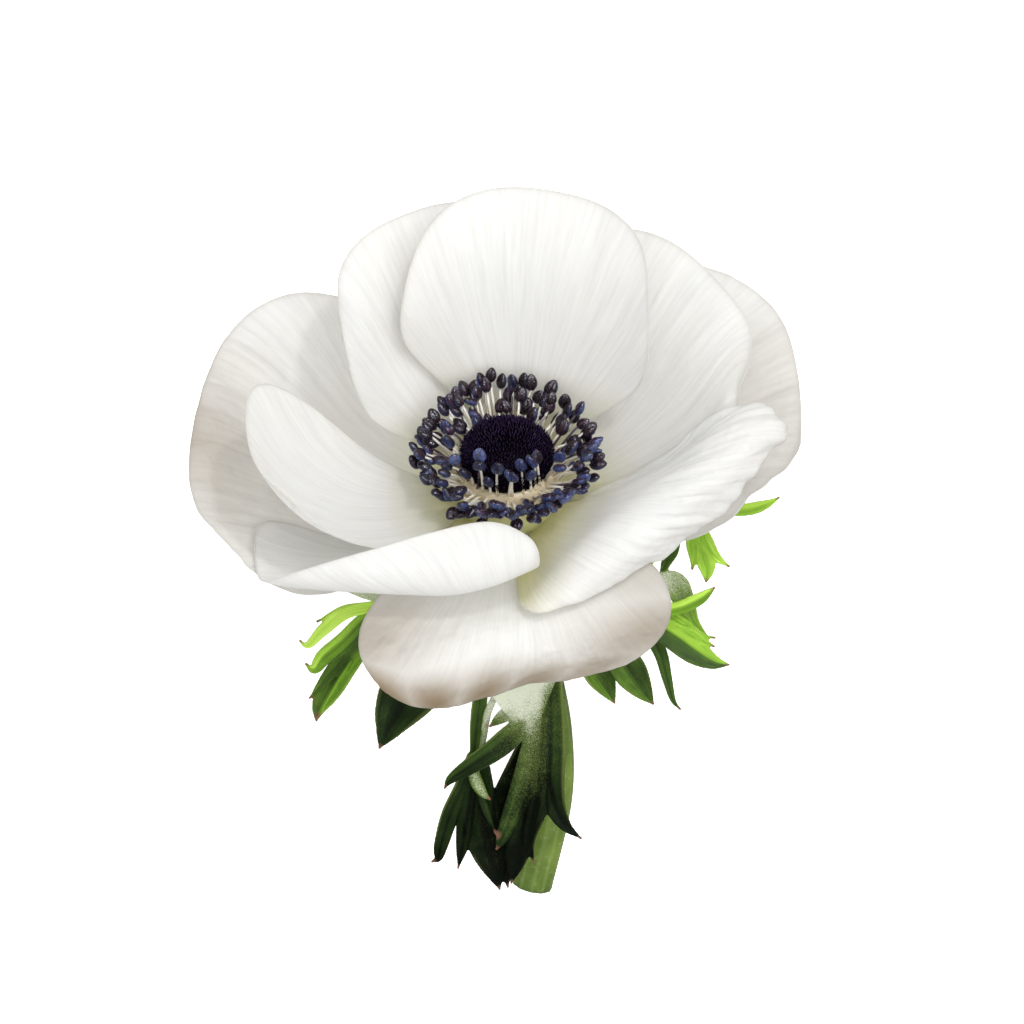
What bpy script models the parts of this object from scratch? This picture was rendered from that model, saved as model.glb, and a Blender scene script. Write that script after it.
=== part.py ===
"""An anemone flower, cut with a short stem and laid on a surface, looking up past its petals.

Nine white petals in three whorls spread round a ring of navy stamens and a dark domed pistil. The
stem curves away behind the head, and three divided green bracts ring it a little way down.

Two frames are used. In the head's frame Z is the flower's axis, Y the back and X the right. In the
stem's frame Z is up the stem, Y the back and X the right, and the head nods forward from it. An
empty carries both and lays the flower down, with the stem's end towards -Y.
"""
import math
import random
from collections import namedtuple

import bmesh
import bpy
import numpy as np
from mathutils import Matrix, Vector
from mathutils.bvhtree import BVHTree

MM = 0.001

# The head nods this far forward of the stem, in degrees.
HEAD_NOD = 50.0
# How the flower lies, in degrees: the stem's frame is pitched about X, then rolled about Y.
LIE_PITCH = -109.0
LIE_ROLL = 2.5

# Lengths in millimetres from here on. The receptacle is the stem's swollen top.
STEM_RADIUS = 3.0
RECEPTACLE_RADIUS = 5.0
RECEPTACLE_TOP = 5.0
RECEPTACLE_FOOT = -3.4
GAP = 0.3
# The stem's middle line from below the receptacle to the cut, in the stem's frame.
STEM_LINE = [(0, 5.4, -4.5), (0.4, 12, -10.2), (2.2, 19.5, -17.3), (4.6, 24, -25.5),
             (6.4, 28.6, -35), (6.4, 32.7, -45), (3.6, 37.2, -57.6)]

# Each bract is a palm at the stem that divides into narrow lobes, one strip to a line, in the
# stem's frame: where it starts, the point it bows towards, its tip, and its width.
BRACTS = {
    "bract_left": [
        ((-3.6, 18.2, -17.2), (-9, 17, -14.5), (-21, 15, -16.5), 7.5),
        ((-12, 16.5, -15), (-20, 15, -13.5), (-27, 14.5, -18.7), 3.6),
        ((-15, 15.9, -16.2), (-22, 14, -16), (-29.3, 15.5, -22), 3.4),
        ((-12, 16.3, -17), (-21, 15, -19), (-28.4, 16.5, -25.3), 3.4),
        ((-10, 16.6, -17.3), (-20, 17, -20), (-27.3, 19, -32.7), 4.6),
        ((-19.3, 17.4, -22.4), (-24, 17, -26), (-28, 17.5, -29.5), 2.4),
        ((-6, 17.3, -18), (-11, 19, -24), (-18.1, 21.5, -36.5), 6)],
    "bract_right": [
        ((7.4, 18.4, -17.2), (13, 17, -13), (23, 14, -10), 8),
        ((16, 15.8, -11.5), (28, 11, -5), (38.8, 10, -1.3), 3.2),
        ((18, 15.5, -11), (25, 12.5, -8.5), (31.5, 12.5, -10.8), 4.6),
        ((20, 14.9, -10.5), (25, 13.5, -10), (28.4, 14, -13.2), 3.4),
        ((14, 16.5, -14), (25, 15.5, -11), (27.8, 17.5, -21.4), 5.5),
        ((12, 16.9, -16), (21, 16.5, -17), (29.5, 15.5, -14.1), 3.4),
        ((12.5, 16.7, -16.3), (22, 18, -18), (29.5, 18.5, -21.1), 3),
        ((10, 17.2, -17), (20, 18.5, -18), (31.5, 20, -25), 4),
        ((8.4, 17.8, -17.8), (18, 20, -20), (24.7, 22, -31.3), 4.4),
        ((8, 18, -18.3), (13, 20.5, -23), (15.1, 22.5, -30.1), 4.4),
        ((10.7, 19.5, -21.3), (16, 21, -25), (20.8, 22.5, -30.4), 3.6)],
    "bract_front": [
        ((2, 14.8, -17.5), (0, 14.5, -24), (1.5, 19.5, -33), 11),
        ((-2, 16.1, -27), (-3, 18.5, -30), (-2.3, 19, -33.8), 2.6),
        ((-2, 15.5, -25), (-2, 20, -36), (-8.7, 22, -42), 4),
        ((-1, 16.8, -28), (-2, 23, -40), (-10.6, 27, -52.8), 3.4),
        ((0, 17.7, -30), (-2.5, 24, -42), (-6.8, 28.5, -53.7), 3),
        ((0.6, 17.7, -29.6), (-1.5, 25, -44), (-1.4, 29.8, -56.8), 3.2),
        ((2.6, 17.4, -29.8), (5, 23, -40), (-1.4, 28, -51.1), 4),
        ((3.2, 17.3, -29.4), (5, 24, -43), (0.4, 29.5, -55.5), 4),
        ((3.6, 17.2, -30.3), (6, 24, -44), (3.6, 28.8, -52.8), 4.5),
        ((3.9, 17.1, -29), (7, 22.5, -40), (10.4, 27, -49.5), 5)],
}
BRACT_THICKNESS = 0.82
# How far a lobe's edges stand above its middle, as a share of its width.
BRACT_CHANNEL = 0.12

# A petal starts as a flat blade, given in millimetres and degrees. height is where its claw joins
# the receptacle, rise the midrib's slope at even steps from claw to tip, cup how far each edge turns
# up, twist the roll about the midrib, and sway the midrib's turn sideways. roll folds the blade
# beyond a line: where the line crosses the midrib, as a share of the length, which way it faces,
# its radius, and how far it turns (+ up). broad is the share of the length at which the blade is
# full width, square how blunt it is, and skew the share of the length by which its left edge is
# ahead of its middle. Each pull then moves the blade round one place: where that is, from -1 to 1
# across and along, how far the pull reaches, and how far it moves the place right, up and forward
# of the upright stem.
Petal = namedtuple("Petal", "height azimuth length width rise cup twist sway roll broad square skew"
                   " pulls", defaults=((0, 0), 0, None, 0.6, 2.5, 0, ()))
PETAL_THICKNESS = 0.65
CLAW_SHARE = 0.26
CLAW_RADIUS = RECEPTACLE_RADIUS + 0.4
PETALS = {
    "petal_back": Petal(1.7, 77, 38, 40.5, (17, 62, 62, 43), (15, 55, 40), (3, 0), square=2.3),
    "petal_back_left": Petal(0.7, 120, 38, 40, (4, 50, 66, 40), (10, 50, 30), (8, 4), broad=0.65,
                             square=2.3),
    "petal_left": Petal(1.1, 201, 41.5, 28, (7, 20, 54, 68), (10, 38, 60), (4, 8), -10, broad=0.7,
                        pulls=[(-1, -0.1, 0.8, 3.3, -1.1, 0), (-0.5, 1, 0.6, 0, 2.1, 0),
                               (1, 0.7, 0.7, -3.3, -0.8, 0)]),
    "petal_front_left": Petal(-0.1, 230, 30.5, 42, (8, 8, 8, 8), (5, 5, 10), (14, 9),
                              roll=(0.58, 44, 5, 125), broad=0.4,
                              pulls=[(1, 1, 0.7, -1.4, -5.5, 0), (-0.3, 1, 0.5, -5.2, 0.6, 0),
                                     (-1, -0.3, 0.6, 3.4, -6.9, 0), (0.4, -0.1, 0.5, 0, -1.7, 0),
                                     (-1, 1, 0.5, -1.8, 2, 0)]),
    "petal_right_front": Petal(-1.2, 337, 32, 31, (16, 28, 27, 24), (10, 15, 15), (0, -9),
                               roll=(0.46, -44, 5, -98), broad=0.5, square=2.3, skew=0.19,
                               pulls=[(-1, -0.6, 0.55, -1.1, -5.5, 0), (0.4, 1, 1, 0.4, 6.2, 8),
                                      (-0.8, 1, 0.5, 0, 3.9, 0), (1, -0.3, 0.6, 0.4, -3.6, 0)]),
    "petal_back_right": Petal(-1.3, 32, 38.5, 43, (2, 40, 54, 30), (8, 40, 30), (14, 10),
                              pulls=[(-1, 0.7, 0.6, -2.5, 3.9, -4)]),
    "petal_left_outer": Petal(-2.5, 169, 41, 49, (-6, 12, 38, 0), (5, 20, 10), (-4, -8)),
    "petal_right_outer": Petal(-2.5, 26, 39, 45, (-4, 18, 34, 12), (5, 25, 10), (14, 12),
                               pulls=[(-1, 0.3, 0.7, -3, 1.1, -4), (0.3, 1, 0.7, 2.8, 0.5, 0)]),
    "petal_front": Petal(-2.6, 269, 28.5, 43, (-10, -2, 0, 0), (10, 10, 0), (0, -6),
                         roll=(0.5, 15, 9, -100),
                         pulls=[(-1, 0.6, 0.7, 0.8, -2.6, 0), (1, 0.6, 0.9, 1.4, 3.6, 0),
                                (0.2, 1, 0.6, 0, 1.9, 0)]),
}
# Where petals overlap, the ones listed first lie over the ones listed later, and they are moved
# apart until their middle surfaces are this far from each other.
PETAL_SPACING = 1.2
SETTLE_ROUNDS = 40

# The pistil is a low button of packed styles, alternate ones standing proud.
PISTIL_RADIUS = 6.2
PISTIL_HEIGHT = 3.6
PISTIL_MIDDLE = 7.1
PISTIL_RELIEF = 0.35

STAMEN_COUNT = 96
COLLAR_LOW = 3.0
COLLAR_HIGH = 4.6
COLLAR_WALL = 1.1
ANTHER_LENGTH = 2.0
ANTHER_RADIUS = 0.66
FILAMENT_RADIUS = 0.26
ANTHER_NEAR = 7.9
ANTHER_FAR = 12.8

# Colours as linear RGB.
PETAL_WHITE = (0.88, 0.87, 0.83)
STAMEN_NAVY = (0.030, 0.032, 0.110)
PISTIL_BLACK = (0.012, 0.010, 0.020)
STEM_GREEN = (0.30, 0.45, 0.12)
BRACT_GREEN = (0.10, 0.24, 0.02)


def clear_scene():
    """An empty file to build in."""
    for item in list(bpy.data.objects):
        bpy.data.objects.remove(item, do_unlink=True)
    for group in list(bpy.data.collections):
        bpy.data.collections.remove(group)


def surface_finish(name, colour, roughness):
    """A plain material for a piece."""
    finish = bpy.data.materials.new(name)
    finish.use_nodes = True
    shader = finish.node_tree.nodes["Principled BSDF"]
    shader.inputs["Base Color"].default_value = (*colour, 1.0)
    shader.inputs["Roughness"].default_value = roughness
    finish.diffuse_color = (*colour, 1.0)
    return finish


def new_object(name, mesh, group, finish=None):
    """An object for a mesh, in a collection."""
    piece = bpy.data.objects.new(name, mesh)
    group.objects.link(piece)
    if finish:
        mesh.materials.append(finish)
    return piece


def shaded(form, name):
    """A smooth-shaded mesh from a bmesh in millimetres."""
    bmesh.ops.scale(form, vec=(MM, MM, MM), verts=form.verts)
    bmesh.ops.recalc_face_normals(form, faces=form.faces)
    mesh = bpy.data.meshes.new(name)
    form.to_mesh(mesh)
    form.free()
    mesh.shade_smooth()
    return mesh


def thicken(piece, thickness):
    """Turn an open blade into a solid, split alike on both faces."""
    split = piece.modifiers.new("split", "TRIANGULATE")
    split.quad_method = "SHORTEST_DIAGONAL"
    wall = piece.modifiers.new("wall", "SOLIDIFY")
    wall.thickness = thickness * MM
    wall.offset = 0


def evaluated_mesh(piece):
    """The piece's mesh with its modifiers applied."""
    graph = bpy.context.evaluated_depsgraph_get()
    return bpy.data.meshes.new_from_object(piece.evaluated_get(graph), depsgraph=graph)


def fuse(name, pieces, group, finish):
    """One solid from closed pieces that overlap; the pieces are removed."""
    loose = bpy.data.collections.new(name + "_pieces")
    bpy.context.scene.collection.children.link(loose)
    for piece in pieces[1:]:
        group.objects.unlink(piece)
        loose.objects.link(piece)
    join = pieces[0].modifiers.new("join", "BOOLEAN")
    join.operation = "UNION"
    join.operand_type = "COLLECTION"
    join.collection = loose
    join.solver = "MANIFOLD"
    mesh = evaluated_mesh(pieces[0])
    mesh.materials.clear()
    mesh.shade_smooth()
    for piece in pieces:
        bpy.data.objects.remove(piece, do_unlink=True)
    bpy.data.collections.remove(loose)
    return new_object(name, mesh, group, finish)


def through(values, share):
    """The polynomial through evenly spaced values, read at a share from 0 to 1."""
    knots = np.linspace(0, 1, len(values))
    return np.polyval(np.polyfit(knots, values, len(values) - 1), share)


def petal_sheet(petal, along, across):
    """The petal without its fold: where points of the flat blade go in the head's frame."""
    steps = 60
    share = np.linspace(0, 1, steps + 1)
    rise = np.radians(through(petal.rise, share))
    turn = np.radians(petal.azimuth + petal.sway * share)
    twist = np.radians(through(petal.twist, share))
    rib = np.stack([np.cos(rise) * np.cos(turn), np.cos(rise) * np.sin(turn), np.sin(rise)], 1)
    level = np.stack([-np.sin(turn), np.cos(turn), 0 * turn], 1)
    upright = np.cross(rib, level)
    side = np.cos(twist)[:, None] * level + np.sin(twist)[:, None] * upright
    lift = np.cos(twist)[:, None] * upright - np.sin(twist)[:, None] * level
    azimuth = math.radians(petal.azimuth)
    start = np.array([CLAW_RADIUS * math.cos(azimuth), CLAW_RADIUS * math.sin(azimuth),
                      petal.height])
    step = (rib[1:] + rib[:-1]) / 2 * petal.length / steps
    place = np.vstack([start, start + np.cumsum(step, 0)])
    where = along / petal.length

    def read(values):
        return np.stack([np.interp(where, share, values[:, k]) for k in range(3)], -1)

    bend = np.radians(through(petal.cup, np.clip(where, 0, 1))) * across / (petal.width / 2)
    flat = np.abs(bend) < 1e-4
    safe = np.where(flat, 1, bend)
    out = np.where(flat, across, across * np.sin(safe) / safe)
    up = np.where(flat, across * bend / 2, across * (1 - np.cos(safe)) / safe)
    return read(place) + out[..., None] * read(side) + up[..., None] * read(lift)


def folded_sheet(petal, p, q):
    """The petal with its fold: where points of the flat blade go in the head's frame."""
    begin, facing, radius, most = petal.roll
    ahead_p = math.cos(math.radians(facing))
    ahead_q = math.sin(math.radians(facing))
    beyond = np.clip((p - begin * petal.length) * ahead_p + q * ahead_q, 0, None)
    foot_p = p - beyond * ahead_p
    foot_q = q - beyond * ahead_q
    foot = petal_sheet(petal, foot_p, foot_q)
    tiny = 0.05
    ahead = petal_sheet(petal, foot_p + tiny * ahead_p, foot_q + tiny * ahead_q) - foot
    beside = petal_sheet(petal, foot_p - tiny * ahead_q, foot_q + tiny * ahead_p) - foot
    ahead /= np.linalg.norm(ahead, axis=-1, keepdims=True)
    normal = np.cross(ahead, beside)
    normal /= np.linalg.norm(normal, axis=-1, keepdims=True)
    arc = radius * math.radians(abs(most))
    angle = np.minimum(beyond, arc) / radius
    rest = np.clip(beyond - arc, 0, None)
    out = radius * np.sin(angle) + rest * np.cos(angle)
    up = math.copysign(1, most) * (radius * (1 - np.cos(angle)) + rest * np.sin(angle))
    return foot + out[..., None] * ahead + up[..., None] * normal


def petal_surface(petal, u, v):
    """The petal's middle surface at square coordinates from -1 to 1, across and along."""
    across = u * np.sqrt(1 - v * v / 2)
    along = v * np.sqrt(1 - u * u / 2)
    turn = np.arctan2(across, along)
    blunt = np.abs(np.sin(turn)) ** petal.square + np.abs(np.cos(turn)) ** petal.square
    grow = blunt ** (-1 / petal.square)
    share = (1 + along * grow) / 2
    widen = CLAW_SHARE + (1 - CLAW_SHARE) * np.sin(np.clip(share / petal.broad, 0, 1) * math.pi / 2)
    p = petal.length * (share + petal.skew * across * grow)
    q = across * grow * petal.width / 2 * widen
    points = petal_sheet(petal, p, q) if petal.roll is None else folded_sheet(petal, p, q)
    upright = np.array(Matrix.Rotation(math.radians(HEAD_NOD), 3, "X"))
    for at_u, at_v, reach, right, up, forward in petal.pulls:
        share = np.exp(-((u - at_u) ** 2 + (v - at_v) ** 2) / reach ** 2)
        points = points + share[..., None] * (np.array([right, -forward, up]) @ upright)
    return points


def blade_grid(petal):
    """The petal's middle surface as a square grid of points."""
    cells = 12 if petal.roll is None else 14
    steps = np.linspace(-1, 1, cells + 1)
    u, v = np.meshgrid(steps, steps, indexing="ij")
    return petal_surface(petal, u, v)


def grid_faces(count):
    """The faces of a square grid of count by count points, seen from the blade's upper side."""
    faces = []
    for row in range(count - 1):
        for column in range(count - 1):
            corner = row * count + column
            faces.append((corner, corner + 1, corner + count + 1, corner + count))
    return faces


def push_off(points, tree, above):
    """How far each point has to move to stay on its side of another blade."""
    push = np.zeros_like(points)
    wanted = PETAL_SPACING if above else -PETAL_SPACING
    for index in np.ndindex(points.shape[:2]):
        point = Vector(points[index])
        foot, normal, _, _ = tree.find_nearest(point, 6)
        if foot is None:
            continue
        height = (point - foot).dot(normal)
        beside = (point - foot - normal * height).length
        short = wanted - height
        if beside < 0.3 + 0.6 * abs(height) and (short > 0) == above:
            push[index] = normal * short
    return push


def settle(blades):
    """Move overlapping petals apart, each one lying over those that come after it."""
    names = list(blades)
    shifts = {name: np.zeros_like(blades[name]) for name in names}
    for turn in range(SETTLE_ROUNDS):
        places = {name: blades[name] + shifts[name] for name in names}
        trees = {name: BVHTree.FromPolygons([Vector(point) for point in places[name].reshape(-1, 3)],
                                            grid_faces(len(places[name]))) for name in names}
        for rank, name in enumerate(names):
            shift = shifts[name]
            for other_rank, other in enumerate(names):
                if other != name:
                    shift += 0.5 * push_off(places[name], trees[other], rank < other_rank)
            padded = np.pad(shift, ((1, 1), (1, 1), (0, 0)), "edge")
            around = (padded[2:, 1:-1] + padded[:-2, 1:-1] + padded[1:-1, 2:] + padded[1:-1, :-2]) / 4
            ease = 0.4 if turn < SETTLE_ROUNDS * 0.7 else 0.1
            shift += ease * (around - shift)
    return {name: blades[name] + shifts[name] for name in names}


def make_petal(name, points, group, finish):
    """One petal as a solid blade from the grid of its middle surface."""
    mesh = bpy.data.meshes.new(name)
    mesh.from_pydata((points.reshape(-1, 3) * MM).tolist(), [], grid_faces(len(points)))
    mesh.shade_smooth()
    piece = new_object(name, mesh, group, finish)
    thicken(piece, PETAL_THICKNESS)
    return piece


def turned(rings, segments):
    """A closed turned form round Z from (radius, height) rings, its first and last ones points."""
    form = bmesh.new()
    bmesh.ops.create_uvsphere(form, u_segments=segments, v_segments=len(rings) - 1, radius=1)
    for vertex in form.verts:
        level = round((1 - math.acos(max(-1, min(1, vertex.co.z))) / math.pi) * (len(rings) - 1))
        radius, height = rings[level]
        flat = vertex.co.xy.normalized() * radius if radius else Vector((0, 0))
        vertex.co = (flat.x, flat.y, height)
    return form


def make_pistil(group, finish):
    """The button of styles on top of the receptacle."""
    bands = 14
    rings = []
    for band in range(bands + 1):
        angle = math.pi * (band / bands - 0.5)
        height = PISTIL_HEIGHT if angle > 0 else PISTIL_MIDDLE - RECEPTACLE_TOP - GAP
        radius = 0 if band in (0, bands) else PISTIL_RADIUS * math.cos(angle)
        rings.append((radius, PISTIL_MIDDLE + height * math.sin(angle)))
    form = turned(rings, 36)
    middle = Vector((0, 0, PISTIL_MIDDLE))
    for vertex in form.verts:
        if vertex.co.z < PISTIL_MIDDLE - 0.4:
            continue
        outward = vertex.co - middle
        spoke = round(math.atan2(outward.y, outward.x) / math.tau * 36)
        band = round(math.asin(min(1, outward.z / PISTIL_HEIGHT)) / math.pi * bands)
        if (spoke + band) % 2 == 0:
            vertex.co += outward.normalized() * PISTIL_RELIEF
    return new_object("pistil", shaded(form, "pistil"), group, finish)


def make_stamens(group, finish):
    """The ring of stamens: a collar of receptacle with the filaments and anthers it carries."""
    form = bmesh.new()
    bmesh.ops.create_cone(form, cap_ends=False, segments=24, radius1=1, radius2=1,
                          depth=COLLAR_HIGH - COLLAR_LOW)
    middle = RECEPTACLE_RADIUS + GAP + COLLAR_WALL / 2
    for vertex in form.verts:
        vertex.co = (vertex.co.x * middle, vertex.co.y * middle,
                     vertex.co.z + (COLLAR_HIGH + COLLAR_LOW) / 2)
    blank = new_object("collar_blank", shaded(form, "collar"), group)
    thicken(blank, COLLAR_WALL)
    pieces = [new_object("collar", evaluated_mesh(blank), group)]
    bpy.data.objects.remove(blank, do_unlink=True)

    draw = random.Random(7)
    golden = math.radians(137.508)
    for index in range(STAMEN_COUNT):
        azimuth = index * golden + draw.uniform(-0.05, 0.05)
        share = math.sqrt((index + 0.5) / STAMEN_COUNT)
        reach = ANTHER_NEAR + (ANTHER_FAR - ANTHER_NEAR) * share + draw.uniform(-0.3, 0.3)
        top = 9.6 - 1.5 * share * share + 1.1 * math.sin(azimuth) * share + draw.uniform(-0.3, 0.3)
        root = Vector((middle * math.cos(azimuth), middle * math.sin(azimuth), 3.9))
        tip = Vector((reach * math.cos(azimuth), reach * math.sin(azimuth), top))
        length = (tip - root).length
        neck = length - ANTHER_LENGTH
        rings = [(0, 0), (FILAMENT_RADIUS, 0.05), (FILAMENT_RADIUS, neck),
                 (ANTHER_RADIUS, neck + 0.45 * ANTHER_LENGTH),
                 (0.75 * ANTHER_RADIUS, neck + 0.85 * ANTHER_LENGTH), (0, length)]
        form = turned(rings, 5)
        turn = (tip - root).to_track_quat("Z", "Y").to_matrix().to_4x4()
        bmesh.ops.transform(form, matrix=Matrix.Translation(root) @ turn, verts=form.verts)
        pieces.append(new_object("stamen", shaded(form, "stamen"), group))
    return fuse("stamens", pieces, group, finish)


def smooth_line(points, count):
    """Evenly read points of the smooth curve through some points."""
    knots = np.arange(len(points))
    points = np.array(points, float)
    padded = np.vstack([2 * points[0] - points[1], points, 2 * points[-1] - points[-2]])
    line = []
    for at in np.linspace(0, len(points) - 1, count):
        cell = min(int(at), knots[-1] - 1)
        t = at - cell
        a, b, c, d = padded[cell:cell + 4]
        line.append(0.5 * (2 * b + (c - a) * t + (2 * a - 5 * b + 4 * c - d) * t * t
                           + (3 * b - a - 3 * c + d) * t ** 3))
    return np.array(line)


def in_stem_frame(height):
    """A point of the head's axis, given by its height in the head's frame."""
    nod = math.radians(HEAD_NOD)
    return (0, -height * math.sin(nod), height * math.cos(nod))


def make_stem(group, finish):
    """The stem with the receptacle that it swells into, one tube of changing radius."""
    line = [in_stem_frame(RECEPTACLE_TOP), in_stem_frame(RECEPTACLE_FOOT)]
    radii = [RECEPTACLE_RADIUS, RECEPTACLE_RADIUS]
    for share in (0.35, 0.7):
        line.append(in_stem_frame(RECEPTACLE_FOOT - share * 3.5))
        radii.append(RECEPTACLE_RADIUS - (RECEPTACLE_RADIUS - STEM_RADIUS) * share ** 1.5)
    for point in smooth_line(STEM_LINE, 15):
        line.append(tuple(point))
        radii.append(STEM_RADIUS)

    curve = bpy.data.curves.new("stem", "CURVE")
    curve.dimensions = "3D"
    curve.bevel_depth = STEM_RADIUS * MM
    curve.bevel_resolution = 4
    curve.use_fill_caps = True
    curve.twist_mode = "MINIMUM"
    spline = curve.splines.new("POLY")
    spline.points.add(len(line) - 1)
    for point, place, radius in zip(spline.points, line, radii):
        point.co = (place[0] * MM, place[1] * MM, place[2] * MM, 1)
        point.radius = radius / STEM_RADIUS
    stem = bpy.data.objects.new("stem", curve)
    group.objects.link(stem)
    curve.materials.append(finish)
    return stem


def make_lobe(start, bow, tip, width, group):
    """One strip of a bract, channelled along its middle and tapering to its tip."""
    steps = 6
    start, bow, tip = Vector(start), Vector(bow), Vector(tip)
    form = bmesh.new()
    rings = []
    for step in range(steps + 1):
        t = step / steps
        place = (1 - t) ** 2 * start + 2 * t * (1 - t) * bow + t * t * tip
        ahead = ((1 - t) * (bow - start) + t * (tip - bow)).normalized()
        side = ahead.cross(Vector((0, -1, 0))).normalized()
        face = side.cross(ahead)
        reach = max(0.3, width / 2 * (0.75 + 0.5 * t) * (1 - t ** 3) ** 0.7)
        thick = BRACT_THICKNESS / 2
        edge = 2 * BRACT_CHANNEL * reach
        ring = [place - reach * side + (edge + thick) * face, place + thick * face,
                place + reach * side + (edge + thick) * face,
                place + reach * side + (edge - thick) * face, place - thick * face,
                place - reach * side + (edge - thick) * face]
        rings.append([form.verts.new(point) for point in ring])
    for near, far in zip(rings, rings[1:]):
        for corner in range(6):
            after = (corner + 1) % 6
            form.faces.new((near[corner], near[after], far[after], far[corner]))
    for ring in (rings[0], rings[-1]):
        form.faces.new((ring[0], ring[1], ring[4], ring[5]))
        form.faces.new((ring[1], ring[2], ring[3], ring[4]))
    return new_object("lobe", shaded(form, "lobe"), group)


def make_bract(name, lobes, group, finish):
    """One divided bract: its palm and lobes as a single solid."""
    strips = [make_lobe(*lobe, group) for lobe in lobes]
    return fuse(name, strips, group, finish)


def lay_down(pieces, lie):
    """Bring the middle of the flower's footprint to the origin and its lowest point to Z = 0."""
    bpy.context.view_layer.update()
    corners = []
    for piece in pieces:
        mesh = evaluated_mesh(piece)
        places = np.empty(len(mesh.vertices) * 3, np.float32)
        mesh.vertices.foreach_get("co", places)
        turn = np.array(piece.matrix_world)
        corners.append(places.reshape(-1, 3) @ turn[:3, :3].T + turn[:3, 3])
    corners = np.vstack(corners)
    low = corners.min(0)
    high = corners.max(0)
    lie.location -= Vector(((low[0] + high[0]) / 2, (low[1] + high[1]) / 2, low[2]))


def main():
    clear_scene()
    flower = bpy.data.collections.new("anemone_flower")
    bpy.context.scene.collection.children.link(flower)
    white = surface_finish("petal_white", PETAL_WHITE, 0.55)
    navy = surface_finish("stamen_navy", STAMEN_NAVY, 0.5)
    black = surface_finish("pistil_black", PISTIL_BLACK, 0.6)
    stem_green = surface_finish("stem_green", STEM_GREEN, 0.5)
    bract_green = surface_finish("bract_green", BRACT_GREEN, 0.5)

    blades = settle({name: blade_grid(petal) for name, petal in PETALS.items()})
    head_pieces = [make_petal(name, points, flower, white) for name, points in blades.items()]
    head_pieces.append(make_pistil(flower, black))
    head_pieces.append(make_stamens(flower, navy))
    stem_pieces = [make_bract(name, lobes, flower, bract_green) for name, lobes in BRACTS.items()]
    stem_pieces.append(make_stem(flower, stem_green))

    lie = bpy.data.objects.new("lie", None)
    head = bpy.data.objects.new("head", None)
    flower.objects.link(lie)
    flower.objects.link(head)
    lie.rotation_euler = (math.radians(LIE_PITCH), math.radians(LIE_ROLL), 0)
    head.parent = lie
    head.rotation_euler = (math.radians(HEAD_NOD), 0, 0)
    for piece in head_pieces:
        piece.parent = head
    for piece in stem_pieces:
        piece.parent = lie
    lay_down(head_pieces + stem_pieces, lie)


if __name__ == "__main__":
    main()
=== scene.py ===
"""The looks of a cut white anemone that lies on a pale surface, seen from above as if held upright.

Two frames are used, as in the part's source. In the head's frame Z is the flower's axis, Y the back
and X the right. In the stem's frame Z is up the stem, and the head nods forward from it. Lengths
are in millimetres until a mesh is written in the row's frame.
"""
import math
from collections import namedtuple

import bmesh
import bpy
import numpy as np
from mathutils import Matrix, Vector
from mathutils.bvhtree import BVHTree


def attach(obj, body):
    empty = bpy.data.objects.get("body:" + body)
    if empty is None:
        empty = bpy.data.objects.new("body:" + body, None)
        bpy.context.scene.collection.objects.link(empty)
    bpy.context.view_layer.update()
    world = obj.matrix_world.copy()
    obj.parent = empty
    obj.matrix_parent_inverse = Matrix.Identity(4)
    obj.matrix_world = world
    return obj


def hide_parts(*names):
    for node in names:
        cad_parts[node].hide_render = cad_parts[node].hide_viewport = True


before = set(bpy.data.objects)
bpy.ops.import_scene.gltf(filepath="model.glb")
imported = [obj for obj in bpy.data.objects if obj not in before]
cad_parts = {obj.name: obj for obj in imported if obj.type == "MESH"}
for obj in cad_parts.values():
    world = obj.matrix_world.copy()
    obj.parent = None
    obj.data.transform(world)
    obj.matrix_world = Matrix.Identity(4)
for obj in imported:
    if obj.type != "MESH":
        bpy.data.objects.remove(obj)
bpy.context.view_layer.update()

MM = 0.001

# Noise repeats after this many units.
NOISE_CELLS = 64

# How the flower lies, as in the part's source: the stem frame's pitch and roll and where it stands,
# and how far the head nods forward from it.
LIE_PITCH = -109.0
LIE_ROLL = 2.5
LIE_PLACE = (1.2533, 12.9174, 19.5948)
HEAD_NOD = 50.0

# The photograph: its size in pixels, the pixel that shows the stem frame's origin, and the size of
# a pixel there. The camera looks level across the upright flower.
PHOTO_SIZE = 1024
PHOTO_ORIGIN = (507, 490)
PIXEL = 0.138
CAMERA_DISTANCE = 600
SENSOR = 36

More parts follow.
